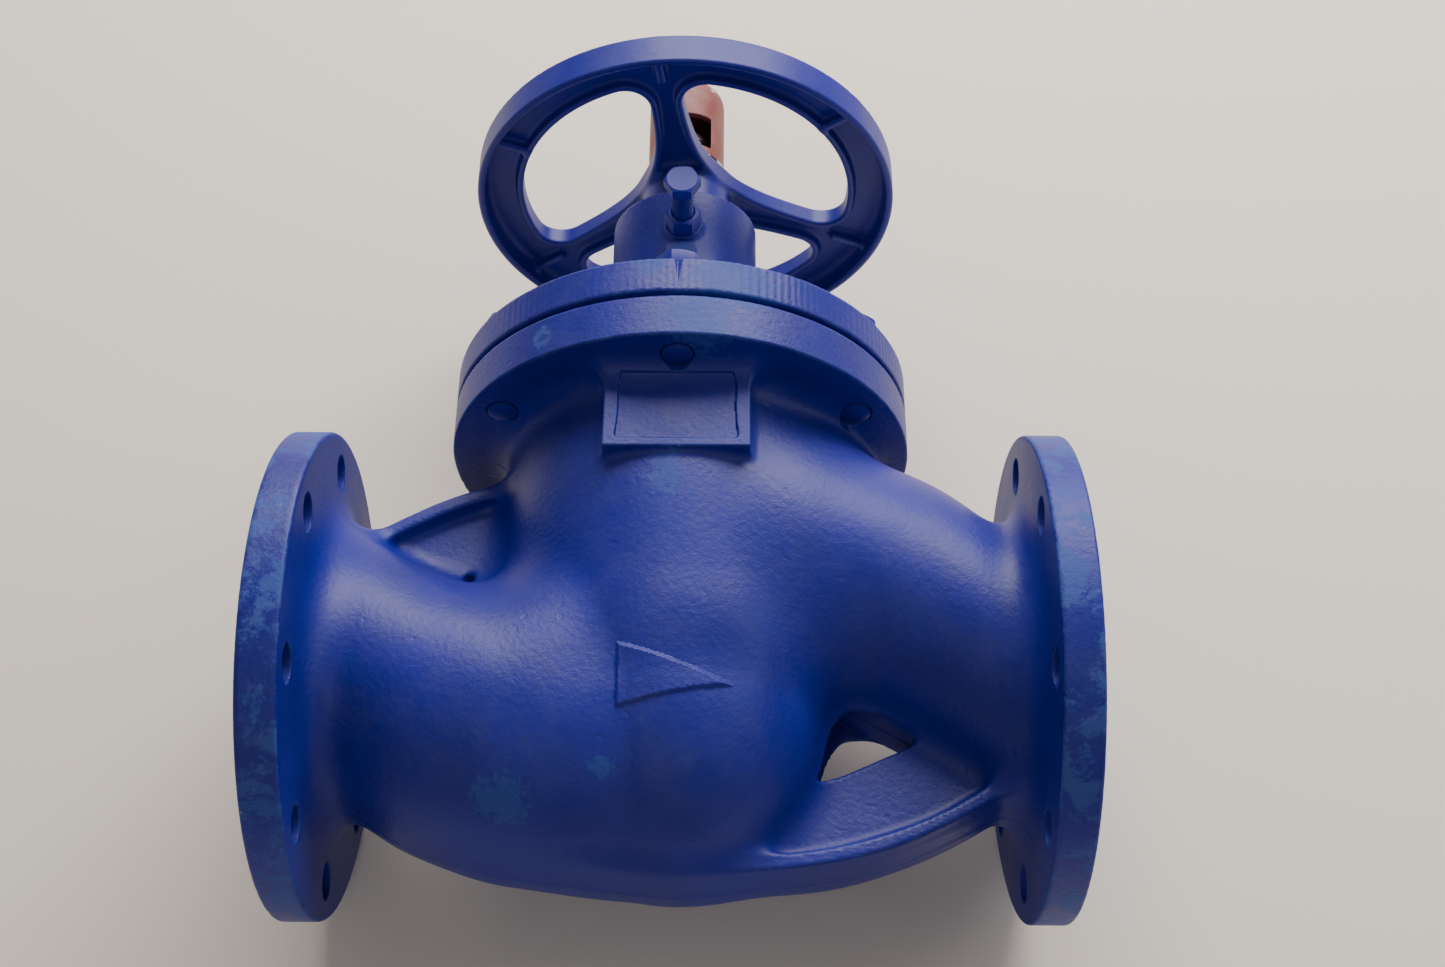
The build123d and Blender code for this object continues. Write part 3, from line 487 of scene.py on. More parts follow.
# Bonnet
bonnet = dict(
    radius=125, low=span("bonnet", 1)[0], top=175.0, neckRadius=42.2, high=span("bonnet", 1)[1], fillet=9,
    lugX=(-10.2, 7.2), lugTop=249.0, lugFace=46.2, bossRadius=10.6, bossFace=45.0, screwHeight=262.0,
    ribs=190, ribRise=0.11, notchDepth=2.8, grid=1.5, quickGrid=2.4,
    slotHalf=3.1, slotReach=37.9,
    bores=[  # radius, lowest and highest of each step of the bore
        (radiusOf("bonnet_gasket") + 0.2, 100, span("bonnet_gasket", 1)[1]),
        (radiusOf("back_seat_bush") + 0.2, 100, span("bonnet_gasket", 1)[1] + 4.6),
        (19.2, 100, span("packing_rings", 1)[0] + 1),
        (radiusOf("packing_rings") + 0.2, span("packing_rings", 1)[0], span("gland_follower", 1)[1] + 1),
        (radiusOf("gland_screw") + 0.2, span("gland_screw", 1)[0], span("guide_plate_halves", 1)[0] + 1),
        (radiusOf("bearing_nut") + 0.2, span("guide_plate_halves", 1)[0], 400),
    ],
)


def bonnetField(x, y, z):
    radial = np.hypot(x, z)
    angle = np.arctan2(x, z)
    fading = 0.5 + 0.3 * np.sin(3 * angle + 0.6) + 0.3 * np.sin(7 * angle)
    ribbed = bonnet["ribRise"] * np.sin(angle * bonnet["ribs"] + 2 * np.sin(11 * angle)) * fading
    shell = puck(radial + ribbed, y, bonnet["radius"], bonnet["low"], bonnet["top"], 1.5)
    notch = np.abs(x) * 1.5 + (bonnet["radius"] - bonnet["notchDepth"] - z) - 0.2 * (y - bonnet["top"])
    notch = np.maximum(notch, 158 - y)
    shell = blendCut(shell, notch, 1.5)
    neck = puck(radial, y, bonnet["neckRadius"], bonnet["top"] - 8, bonnet["high"], 1.0)
    shell = blendUnion(shell, neck, bonnet["fillet"])
    middle = sum(bonnet["lugX"]) / 2
    arch = y + 0.035 * (x - middle) ** 2 - bonnet["lugTop"]
    lug = rounded(np.abs(x - middle) - (bonnet["lugX"][1] - bonnet["lugX"][0]) / 2, arch, 0.8)
    lug = np.maximum(rounded(lug, z - bonnet["lugFace"], 0.8), np.maximum(-z, bonnet["top"] - 2 - y))
    shell = blendUnion(shell, lug, 1.2)
    boss = puck(np.hypot(x, y - bonnet["screwHeight"]), z, bonnet["bossRadius"], 0, bonnet["bossFace"], 0.6)
    shell = blendUnion(shell, boss, 3) + unevenness(x, y, z, 0.1)
    for radius, low, high in bonnet["bores"]:
        shell = cut(shell, np.maximum(radial - radius, np.maximum(low - y, y - high)))
    slot = np.maximum(np.maximum(np.abs(x) - bonnet["slotHalf"], z), -z - bonnet["slotReach"])
    shell = cut(shell, np.maximum(slot, span("guide_plate_halves", 1)[0] - y))
    bolts = boltCircle(x, z, body["bonnetBoltCircle"], 9.0, 6, math.pi / 2)
    shell = cut(shell, np.maximum(bolts, y - bonnet["top"] - 4))
    screw = np.maximum(np.hypot(x, y - bonnet["screwHeight"]) - 6.2, -z)
    return cut(shell, screw)


def makeBonnet():
    step = bonnet["grid"]
    edge = bonnet["radius"] + 3 * step

    def detail(x, y, z):
        lug = (np.abs(x) < 16) & (z > 36) & (z < 52)
        notch = (np.abs(x) < 8) & (z > 112)
        return lug | notch

    piece = skinOf("bonnet_cover", bonnetField, (-edge, bonnet["low"] - 3 * step, -edge),
                   (edge, bonnet["high"] + 3 * step, edge), step, detail)
    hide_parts("bonnet")
    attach(piece, "valve")
    say("bonnet")
    return piece


# Handwheel
wheel = dict(
    radius=125, rimWall=4.5, low=span("handwheel", 1)[0], top=span("handwheel", 1)[1], rimHeight=18.8,
    plate=5, windowRadius=98, hubRadius=26, hubSide=145, rounding=18, lip=4.0, lipDepth=6.0, firstSpoke=-7.0,
    rib=5.0, ribDepth=5.5, spokeHalf=8.0, grid=1.25, quickGrid=2.0,
)


def windowOutline(x, z):  # distance to the nearest of the three windows, in the wheel's plane
    step = math.radians(120)
    first = math.radians(wheel["firstSpoke"] + 60)
    angle = np.arctan2(x, z) - first
    angle = angle - np.round(angle / step) * step
    radial = np.hypot(x, z)
    along, across = radial * np.cos(angle), radial * np.sin(angle)
    centre = wheel["hubRadius"] + 1 + wheel["hubSide"]
    rimSide = radial - wheel["windowRadius"]
    hubSide = np.hypot(along - centre, across) - wheel["hubSide"]
    spokeSide = wheel["spokeHalf"] - along * math.sin(step / 2) + np.abs(across) * math.cos(step / 2)
    return rounded(rimSide, -blendUnion(-hubSide, -spokeSide, 12), wheel["rounding"])


def wheelField(x, y, z):
    radial = np.hypot(x, z)
    top = wheel["top"]
    plateLow = top - wheel["plate"]
    middle = wheel["radius"] - wheel["rimWall"] / 2
    rim = rounded(np.abs(radial - middle) - wheel["rimWall"] / 2,
                  np.abs(y - top + wheel["rimHeight"] / 2) - wheel["rimHeight"] / 2, 1.9)
    outline = windowOutline(x, z)
    plate = rounded(radial - wheel["radius"] + 1.5, np.abs(y - top + wheel["plate"] / 2) - wheel["plate"] / 2, 1.5)
    shape = blendUnion(rim, plate, 5)
    shape = np.maximum(shape, radial - wheel["radius"])
    lip = rounded(outline - wheel["lip"], np.abs(y - top + (wheel["plate"] + wheel["lipDepth"]) / 2)
                  - (wheel["plate"] + wheel["lipDepth"]) / 2, 1.2)
    lip = np.maximum(lip, radial - middle)
    shape = blendUnion(shape, lip, 3)
    angle = np.arctan2(x, z) - math.radians(wheel["firstSpoke"])
    step = math.radians(60)
    angle = angle - np.round(angle / step) * step
    rib = np.maximum(np.abs(radial * np.sin(angle)) - wheel["rib"] / 2, wheel["windowRadius"] - radial)
    rib = rounded(rib, np.abs(y - plateLow + wheel["ribDepth"] / 2 - 2) - wheel["ribDepth"] / 2 - 2, 1.5)
    shape = blendUnion(shape, np.maximum(rib, radial - middle), 3)
    hub = puck(radial, y, wheel["hubRadius"], wheel["low"], top, 1.0)
    shape = blendUnion(shape, hub, 6)
    shape = blendCut(shape, np.maximum(outline, np.abs(y - top) - 60), 2.0)
    bore = radiusOf("wheel_nut") - 6.4
    shape = cut(shape, radial - bore)
    key = span("wheel_key", 2)[1] + 0.1
    return cut(shape, np.maximum(np.abs(x) - 3.1, np.maximum(z - key, -z)))


def makeWheel():
    step = wheel["grid"]
    edge = wheel["radius"] + 3 * step
    piece = skinOf("handwheel_casting", wheelField, (-edge, wheel["low"] - 3 * step, -edge),
                   (edge, wheel["top"] + 3 * step, edge), step)
    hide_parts("handwheel")
    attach(piece, "wheel")
    say("handwheel")
    return piece


# Indicator cap
cap = dict(radius=radiusOf("indicator_cap"), low=span("indicator_cap", 1)[0], high=span("indicator_cap", 1)[1],
           wall=4.0, rounding=12.0, slotHalf=15.0, slot=(342.5, 366.0), gripHigh=341.0, grip=17.6, grid=0.7)


def capField(x, y, z):
    radial = np.hypot(x, z)
    middle, half = (cap["low"] + cap["high"]) / 2, (cap["high"] - cap["low"]) / 2
    rounding = np.where(y > middle, cap["rounding"], 0.8)
    shape = rounded(radial - cap["radius"], np.abs(y - middle) - half, rounding)
    inside = cap["radius"] - cap["wall"]
    low, high = cap["gripHigh"], cap["high"] - cap["wall"]
    hollow = rounded(radial - inside, np.abs(y - (low + high) / 2) - (high - low) / 2,
                     np.where(y > middle, cap["rounding"] - cap["wall"], 0.5))
    shape = cut(shape, hollow)
    shape = cut(shape, np.maximum(radial - cap["grip"], y - low - 1))
    low, high = cap["slot"]
    slot = rounded(np.abs(x) - cap["slotHalf"], np.abs(y - (low + high) / 2) - (high - low) / 2, 1.2)
    return blendCut(shape, np.maximum(slot, -z), 0.7)


def makeCap():
    step = cap["grid"] * 1
    edge = cap["radius"] + 3 * step
    piece = skinOf("indicator_cap_moulding", capField, (-edge, cap["low"] - 3 * step, -edge),
                   (edge, cap["high"] + 3 * step, edge), step)
    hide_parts("indicator_cap")
    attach(piece, "wheel")
    say("indicator cap")
    return piece


# Stem, screws and bellows
stem = dict(button=18.0, neck=12.0, collar=19.0, collarDepth=8, packingWall=8, lift=32.0, backSeatGap=0.5,
            threadLow=262.0, pitch=5.0, depth=2.6, segments=72)
screw = dict(radius=6.0, pitch=1.75, depth=1.05, tip=3.4, tipLength=6.0, head=7.5, acrossFlats=18.0, segments=48)
bolt = dict(radius=8.0, pitch=2.0, depth=1.2, acrossFlats=24.0, segments=48, head=10.0, count=6)
bellows = dict(folds=16, inner=23.4, outer=33.6, wall=0.7, segments=96, rowsPerFold=14, carrierGap=0.3)


def makeStem():
    low, high = span("stem", 1)
    radius = radiusOf("packing_rings") - stem["packingWall"]
    carrierTop = span("bellows_carrier", 1)[1]
    discTop = span("disc", 1)[1]
    bushLow = span("back_seat_bush", 1)[0]
    collarHigh = bushLow - stem["lift"] - stem["backSeatGap"]
    rings = [(low, 2.0), (low, stem["button"] - 0.8), (low + 0.8, stem["button"]), (low + 10.7, stem["button"]),
             (low + 11.5, stem["button"] - 0.8), (low + 11.5, stem["neck"]), (discTop + 1.2, stem["neck"]),
             (discTop + 2.0, radius), (collarHigh - stem["collarDepth"], radius),
             (collarHigh - stem["collarDepth"], stem["collar"]),
             (collarHigh, stem["collar"]), (collarHigh, radius), (carrierTop + 140, radius)]
    rings = [r for k, r in enumerate(rings) if k == 0 or r[0] >= rings[k - 1][0]]
    rings += threadRings(radius, stem["pitch"], stem["depth"], stem["threadLow"], high - 3.0, stem["segments"], 10)
    rings += [(high - 2.6, radius - stem["depth"]), (high - 0.4, radius - stem["depth"]),
              (high, radius - stem["depth"] - 0.8), (high, 2.0)]
    piece = spun("rising_stem", rings, stem["segments"], (stemX, 0, 0))
    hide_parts("stem")
    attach(piece, "stem")
    return piece


def makeLockingScrew():
    low, high = span("locking_screw", 2)
    height = (span("locking_screw", 1)[0] + span("locking_screw", 1)[1]) / 2
    turn = Matrix.Rotation(math.radians(90), 4, "X")   # the screw's axis from +Y to +Z
    headLow = high - screw["head"]
    threadLow = low + screw["tipLength"]
    rings = [(low, 0.8), (low, screw["tip"] - 0.5), (low + 0.5, screw["tip"]), (threadLow - 1.4, screw["tip"])]
    rings += threadRings(screw["radius"], screw["pitch"], screw["depth"], threadLow - 1.0, headLow - 1.2,
                         screw["segments"])
    rings += [(headLow - 1.0, screw["radius"] - 0.2), (headLow, screw["radius"] - 0.2)]
    rings += hexRings(screw["acrossFlats"], headLow, high, screw["segments"], 0)
    piece = spun("locking_screw_hex", rings, screw["segments"], (stemX, height, 0), turn)
    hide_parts("locking_screw")
    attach(piece, "locking_screw")
    nutLow, nutHigh = span("lock_nut", 2)
    corner = hexRadius(screw["acrossFlats"], screw["segments"], 0)
    flat = 0.47 * screw["acrossFlats"]
    drop = (corner - flat) * math.tan(math.radians(30))
    bore = screw["radius"] + 0.15
    rings = [(nutHigh - 0.2, bore), (nutLow, bore + 0.4), (nutLow, flat), (nutLow + drop, corner),
             (nutHigh - drop, corner), (nutHigh, flat), (nutHigh, bore + 0.9), (nutHigh - 0.9, bore)]
    nut = spun("lock_nut_hex", rings, screw["segments"], (stemX, height, 0), turn)
    openEnds(nut)
    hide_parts("lock_nut")
    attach(nut, "lock_nut")
    return [piece, nut]


def openEnds(piece):  # a ring that returns to its start has no caps: join its first and last rows instead
    work = bmesh.new()
    work.from_mesh(piece.data)
    bmesh.ops.delete(work, geom=[f for f in work.faces if len(f.verts) > 8], context="FACES_ONLY")
    loose = [e for e in work.edges if e.is_boundary]
    bmesh.ops.bridge_loops(work, edges=loose)
    bmesh.ops.recalc_face_normals(work, faces=work.faces)
    work.to_mesh(piece.data)
    work.free()


def makeBolts():
    low = span("bonnet_bolts", 1)[0]
    seat = bonnet["top"]
    pieces = []
    for k in range(bolt["count"]):
        angle = math.radians(60 * k)
        place = (stemX + body["bonnetBoltCircle"] * math.sin(angle), 0, body["bonnetBoltCircle"] * math.cos(angle))
        rings = [(low, 1.0), (low, bolt["radius"] - 1.9), (low + 0.9, bolt["radius"] - 0.3)]
        rings += threadRings(bolt["radius"], bolt["pitch"], bolt["depth"], low + 1.0, seat - 18, bolt["segments"], 6)
        rings += [(seat - 17, bolt["radius"] - 0.1), (seat, bolt["radius"] - 0.1)]
        rings += hexRings(bolt["acrossFlats"], seat, seat + bolt["head"], bolt["segments"], 13 + 21 * k)
        pieces.append(spun(f"bonnet_bolt_{k + 1}", rings, bolt["segments"], place))
    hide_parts("bonnet_bolts")
    for piece in pieces:
        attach(piece, "valve")
    return pieces


def makeBellows():
    low, high = span("bellows", 1)
    low += bellows["carrierGap"]
    rows = bellows["folds"] * bellows["rowsPerFold"]
    middle, swing = (bellows["inner"] + bellows["outer"]) / 2, (bellows["outer"] - bellows["inner"]) / 2
    outside, inside = [], []
    for k in range(rows + 1):
        t = k / rows
        height = low + (high - low) * t
        wave = math.cos(2 * math.pi * bellows["folds"] * t)
        wave = math.copysign(abs(wave) ** 0.7, wave)
        outside.append((height, middle - swing * wave + bellows["wall"] / 2))
        inside.append((height, middle - swing * wave - bellows["wall"] / 2))
    rings = outside + inside[::-1]
    piece = spun("bellows_folds", rings, bellows["segments"], (stemX, 0, 0))
    openEnds(piece)
    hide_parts("bellows")
    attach(piece, "valve")
    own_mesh(piece)
    return piece


# Shader tools
def addNode(tree, kind, inputs=None, **settings):  # an input is a value, or another node's output to link
    node = tree.nodes.new(kind)
    for key, value in settings.items():
        setattr(node, key, value)
    for key, value in (inputs or {}).items():
        if isinstance(value, bpy.types.NodeSocket):
            tree.links.new(value, node.inputs[key])
        else:
            node.inputs[key].default_value = value
    return node


def calc(tree, operation, a, b=0.5, clamp=False):
    return addNode(tree, "ShaderNodeMath", {0: a, 1: b}, operation=operation, use_clamp=clamp).outputs[0]


def ramp(tree, value, low, high, start=0.0, stop=1.0):
    return addNode(tree, "ShaderNodeMapRange", {"Value": value, "From Min": low, "From Max": high, "To Min": start,
                                                "To Max": stop}, interpolation_type="SMOOTHSTEP").outputs[0]


def mixColour(tree, mask, first, second, blend="MIX"):
    return addNode(tree, "ShaderNodeMix", {0: mask, 6: first, 7: second}, data_type="RGBA",
                   blend_type=blend).outputs[2]


def noise(tree, vector, scale, detail=3.0, roughness=0.55, distortion=0.0):
    return addNode(tree, "ShaderNodeTexNoise", {"Vector": vector, "Scale": scale, "Detail": detail,
                                                "Roughness": roughness, "Distortion": distortion}).outputs["Fac"]


def newGroup(name, inputs, outputs):
    tree = bpy.data.node_groups.new(name, "ShaderNodeTree")
    for label, kind, value in inputs:
        socket = tree.interface.new_socket(label, in_out="INPUT", socket_type=kind)
        if value is not None:
            socket.default_value = value
    for label in outputs:
        tree.interface.new_socket(label, in_out="OUTPUT", socket_type="NodeSocketFloat")
    return tree, tree.nodes.new("NodeGroupInput").outputs, tree.nodes.new("NodeGroupOutput").inputs


def useGroup(tree, group, inputs):
    node = addNode(tree, "ShaderNodeGroup", None, node_tree=group)
    for key, value in inputs.items():
        if isinstance(value, bpy.types.NodeSocket):
            tree.links.new(value, node.inputs[key])
        else:
            node.inputs[key].default_value = value
    return node.outputs


vectorKind, floatKind = "NodeSocketVector", "NodeSocketFloat"


def castGrainGroup():  # orange peel over a sand-cast surface, and slow mottling
    tree, given, out = newGroup("castGrain", [("Position", vectorKind, None), ("Peel Size", floatKind, 320.0),
                                              ("Fine Share", floatKind, 0.3)], ["Height", "Mottle"])
    peel = noise(tree, given["Position"], given["Peel Size"], 2.0, 0.5, 0.2)
    fineScale = calc(tree, "MULTIPLY", given["Peel Size"], 3.7)
    fine = noise(tree, given["Position"], fineScale, 2.0, 0.6)
    height = calc(tree, "ADD", peel, calc(tree, "MULTIPLY", fine, given["Fine Share"]))
    pits = ramp(tree, noise(tree, given["Position"], calc(tree, "MULTIPLY", given["Peel Size"], 0.35), 1.0), 0.7, 0.8)
    height = calc(tree, "SUBTRACT", height, calc(tree, "MULTIPLY", pits, 0.5))
    tree.links.new(height, out["Height"])
    tree.links.new(noise(tree, given["Position"], 11.0, 4.0, 0.6), out["Mottle"])
    return tree


def wornPaintGroup():  # paint rubbed lighter and chipped where Edge is high
    tree, given, out = newGroup("wornPaint", [("Position", vectorKind, None), ("Edge", floatKind, 0.0),
                                              ("Amount", floatKind, 0.5), ("Patch Size", floatKind, 60.0)],
                                ["Scuff", "Chip"])
    patch = noise(tree, given["Position"], given["Patch Size"], 5.0, 0.65, 0.6)
    streak = noise(tree, given["Position"], calc(tree, "MULTIPLY", given["Patch Size"], 6.0), 3.0, 0.7, 1.5)
    worn = calc(tree, "ADD", patch, calc(tree, "MULTIPLY", calc(tree, "SUBTRACT", streak, 0.5), 0.35))
    worn = calc(tree, "ADD", worn, calc(tree, "MULTIPLY", given["Amount"], 0.35))
    scuff = calc(tree, "MULTIPLY", ramp(tree, worn, 0.62, 0.74), given["Edge"], True)
    chips = noise(tree, given["Position"], calc(tree, "MULTIPLY", given["Patch Size"], 3.1), 4.0, 0.75)
    chip = calc(tree, "MULTIPLY", ramp(tree, chips, 0.665, 0.69), given["Edge"])
    tree.links.new(scuff, out["Scuff"])
    tree.links.new(calc(tree, "MULTIPLY", chip, ramp(tree, patch, 0.5, 0.6), True), out["Chip"])
    return tree


def rubbedSpotGroup():  # one ragged rubbed patch at a place
    tree, given, out = newGroup("rubbedSpot", [("Position", vectorKind, None), ("Centre", vectorKind, None),
                                               ("Radius", floatKind, 0.02), ("Grain", floatKind, 260.0)], ["Mask"])
    away = addNode(tree, "ShaderNodeVectorMath", {0: given["Position"], 1: given["Centre"]}, operation="DISTANCE")
    share = calc(tree, "DIVIDE", away.outputs["Value"], given["Radius"])
    ragged = noise(tree, given["Position"], given["Grain"], 4.0, 0.7, 0.8)
    value = calc(tree, "SUBTRACT", calc(tree, "MULTIPLY", ragged, 2.1), share)
    tree.links.new(ramp(tree, value, 0.28, 0.62), out["Mask"])
    return tree


def settledDustGroup():  # thin dust where a face looks up
    tree, given, out = newGroup("settledDust", [("Position", vectorKind, None), ("Normal", vectorKind, None),
                                                ("Amount", floatKind, 0.3)], ["Mask"])
    up = addNode(tree, "ShaderNodeVectorMath", {0: given["Normal"], 1: (0, 0, 1)}, operation="DOT_PRODUCT")
    facing = ramp(tree, up.outputs["Value"], 0.2, 1.0)
    cloud = noise(tree, given["Position"], 34.0, 6.0, 0.7)
    mask = calc(tree, "MULTIPLY", calc(tree, "MULTIPLY", facing, ramp(tree, cloud, 0.35, 0.8)), given["Amount"], True)
    tree.links.new(mask, out["Mask"])
    return tree


def turnedLinesGroup():  # fine lines that a lathe leaves round the stem's axis
    tree, given, out = newGroup("turnedLines", [("Position", vectorKind, None), ("Lines", floatKind, 900.0)],
                                ["Height", "Tone"])
    flat = addNode(tree, "ShaderNodeVectorMath", {0: given["Position"], 1: (1, 0, 1)}, operation="MULTIPLY")
    moved = addNode(tree, "ShaderNodeVectorMath", {0: flat.outputs[0], 1: (stemX * mm, 0, 0)}, operation="SUBTRACT")
    radial = addNode(tree, "ShaderNodeVectorMath", {0: moved.outputs[0]}, operation="LENGTH").outputs["Value"]
    along = addNode(tree, "ShaderNodeSeparateXYZ", {0: given["Position"]}).outputs["Y"]
    both = calc(tree, "MULTIPLY", calc(tree, "ADD", radial, along), given["Lines"])
    lines = addNode(tree, "ShaderNodeTexNoise", {"W": both, "Scale": 2.0, "Detail": 2.0}, noise_dimensions="1D")
    tree.links.new(lines.outputs["Fac"], out["Height"])
    tree.links.new(noise(tree, given["Position"], 90.0, 4.0, 0.6), out["Tone"])
    return tree


castGrain, wornPaint, rubbedSpot = castGrainGroup(), wornPaintGroup(), rubbedSpotGroup()
settledDust, turnedLines = settledDustGroup(), turnedLinesGroup()


def newMaterial(name):
    material = bpy.data.materials.new(name)
    material.use_nodes = True
    tree = material.node_tree
    tree.nodes.clear()
    shader = addNode(tree, "ShaderNodeBsdfPrincipled")
    output = addNode(tree, "ShaderNodeOutputMaterial")
    tree.links.new(shader.outputs[0], output.inputs[0])
    where = addNode(tree, "ShaderNodeTexCoord")
    return material, tree, shader, where.outputs["Object"], where.outputs["Normal"]


def connect(tree, shader, **sockets):
    for key, value in sockets.items():
        tree.links.new(value, shader.inputs[key.replace("_", " ")])


def bump(tree, height, strength, distance):
    inputs = {"Height": height, "Strength": strength, "Distance": distance}
    return addNode(tree, "ShaderNodeBump", inputs).outputs["Normal"]


# Enamel
enamel = dict(
    deep=(0.0056, 0.0086, 0.225, 1), light=(0.0082, 0.0122, 0.30, 1), rubbed=(0.036, 0.090, 0.37, 1),
    chip=(0.50, 0.38, 0.24, 1), dust=(0.24, 0.22, 0.26, 1),
    roughness=(0.40, 0.52), rubbedRoughness=0.72, rubbing=0.7, coat=0.05, coatRoughness=0.30,
    spots=[(0.195, 0.066, 0.0975, 0.017), (0.075, -0.055, 0.045, 0.014), (0.120, -0.088, 0.052, 0.02),
           (0.168, -0.078, 0.066, 0.010), (0.1985, 0.238, 0.046, 0.016),
           (0.212, 0.140, 0.125, 0.03), (0.228, 0.165, 0.124, 0.034),
           (0.186, 0.172, 0.124, 0.012), (0.128, 0.139, 0.108, 0.012)],
)


def makeEnamel(name, peel=0.5, wear=0.55, rims=True, spots=True, edgeGain=1.0):
    material, tree, shader, position, normal = newMaterial(name)
    grain = useGroup(tree, castGrain, {"Position": position, "Peel Size": 330.0, "Fine Share": 0.35})
    edge = addNode(tree, "ShaderNodeAttribute", attribute_name="edgeMask").outputs["Fac"]
    edge = calc(tree, "MULTIPLY", ramp(tree, edge, 0.35, 0.9), 0.45)
    if rims:  # the port flanges' rims are rubbed all over
        parts = addNode(tree, "ShaderNodeSeparateXYZ", {0: position})
        flat = addNode(tree, "ShaderNodeVectorMath", {0: position, 1: (0, 1, 1)}, operation="MULTIPLY")
        radial = addNode(tree, "ShaderNodeVectorMath", {0: flat.outputs[0]}, operation="LENGTH").outputs["Value"]
        outward = calc(tree, "ABSOLUTE", calc(tree, "SUBTRACT", parts.outputs["X"], stemX * mm))
        rim = calc(tree, "MULTIPLY", ramp(tree, radial, 0.1225, 0.124), ramp(tree, outward, 0.174, 0.178))
        edge = calc(tree, "MAXIMUM", edge, rim)
    marks = useGroup(tree, wornPaint, {"Position": position, "Edge": edge, "Amount": wear, "Patch Size": 46.0})
    scuff = marks["Scuff"]
    if spots:
        for x, y, z, radius in enamel["spots"]:
            spot = useGroup(tree, rubbedSpot, {"Position": position, "Centre": (x, y, z), "Radius": radius,
                                               "Grain": 190.0})
            scuff = calc(tree, "MAXIMUM", scuff, calc(tree, "MULTIPLY", spot["Mask"], 0.8))
    dust = useGroup(tree, settledDust, {"Position": position, "Normal": normal, "Amount": 0.10})["Mask"]
    colour = mixColour(tree, ramp(tree, grain["Mottle"], 0.3, 0.7), enamel["deep"], enamel["light"])
    colour = mixColour(tree, calc(tree, "MULTIPLY", scuff, enamel["rubbing"]), colour, enamel["rubbed"])
    colour = mixColour(tree, marks["Chip"], colour, enamel["chip"])
    colour = mixColour(tree, dust, colour, enamel["dust"])
    low, high = enamel["roughness"]
    rough = ramp(tree, grain["Mottle"], 0.25, 0.75, low, high)
    rough = calc(tree, "ADD", rough, calc(tree, "MULTIPLY", scuff, enamel["rubbedRoughness"] - high))
    height = calc(tree, "SUBTRACT", grain["Height"], calc(tree, "MULTIPLY", marks["Chip"], 1.5))
    connect(tree, shader, Base_Color=colour, Roughness=rough,
            Normal=bump(tree, height, peel, 0.00035))
    shader.inputs["Coat Weight"].default_value = enamel["coat"]
    shader.inputs["Coat Roughness"].default_value = enamel["coatRoughness"]
    shader.inputs["Specular IOR Level"].default_value = 0.4
    return material


# Bare metals, graphite and plastic
metals = dict(
    stainless=dict(colour=(0.56, 0.55, 0.53, 1), dark=(0.34, 0.33, 0.31, 1), roughness=(0.22, 0.36), lines=1400.0),
    bearing=dict(colour=(0.50, 0.50, 0.51, 1), dark=(0.30, 0.30, 0.32, 1), roughness=(0.18, 0.30), lines=2200.0),
    zinc=dict(colour=(0.60, 0.61, 0.60, 1), dark=(0.40, 0.43, 0.45, 1), roughness=(0.34, 0.52), lines=700.0),
    bronze=dict(colour=(0.60, 0.38, 0.17, 1), dark=(0.33, 0.19, 0.08, 1), roughness=(0.28, 0.44), lines=1100.0),
)
# stem darkening below the top height: partly a greasy film, partly painted shade where the handwheel shades the
# thread
greaseShade = dict(colour=(0.030, 0.024, 0.018, 1), top=0.3535)


def makeMetal(name, settings, greaseShaded=False):
    material, tree, shader, position, normal = newMaterial(name)
    lines = useGroup(tree, turnedLines, {"Position": position, "Lines": settings["lines"]})
    tone = ramp(tree, lines["Tone"], 0.35, 0.7)
    colour = mixColour(tree, tone, settings["colour"], settings["dark"])
    rough = ramp(tree, lines["Tone"], 0.3, 0.7, *settings["roughness"])
    metal = calc(tree, "SUBTRACT", 1.0, calc(tree, "MULTIPLY", tone, 0.06))
    # darkens the stem below the top height, greasy film plus painted shade from the handwheel over the lower thread
    if greaseShaded:
        along = addNode(tree, "ShaderNodeSeparateXYZ", {0: position}).outputs["Y"]
        edgeWobble = calc(tree, "MULTIPLY", noise(tree, position, 300.0, 4.0, 0.6), 0.006)
        darkFilm = ramp(tree, calc(tree, "ADD", along, edgeWobble), greaseShade["top"] + 0.0045, greaseShade["top"] + 0.001)
        patchyDarkFilm = calc(tree, "MULTIPLY", darkFilm, ramp(tree, noise(tree, position, 220.0, 3.0), 0.25, 0.5, 0.55, 1.0))
        colour = mixColour(tree, patchyDarkFilm, colour, greaseShade["colour"])
        metal = calc(tree, "MULTIPLY", metal, calc(tree, "SUBTRACT", 1.0, calc(tree, "MULTIPLY", patchyDarkFilm, 0.85)))
    connect(tree, shader, Base_Color=colour, Roughness=rough, Metallic=metal,
            Normal=bump(tree, lines["Height"], 0.25, 0.00006))
    return material


def makeGraphite():
    material, tree, shader, position, normal = newMaterial("braidedGraphite")
    weave = addNode(tree, "ShaderNodeTexVoronoi", {"Vector": position, "Scale": 900.0}).outputs["Distance"]
    colour = mixColour(tree, ramp(tree, weave, 0.1, 0.7), (0.045, 0.046, 0.05, 1), (0.012, 0.012, 0.014, 1))
    connect(tree, shader, Base_Color=colour, Roughness=ramp(tree, weave, 0, 1, 0.35, 0.6),
            Normal=bump(tree, weave, 0.5, 0.0002))
    return material


plastic = dict(colour=(0.19, 0.029, 0.028, 1), pale=(0.27, 0.060, 0.055, 1), overspray=(0.03, 0.06, 0.30, 1),
               dust=(0.62, 0.55, 0.50, 1), spot=(0.2165, 0.391, 0.0165))


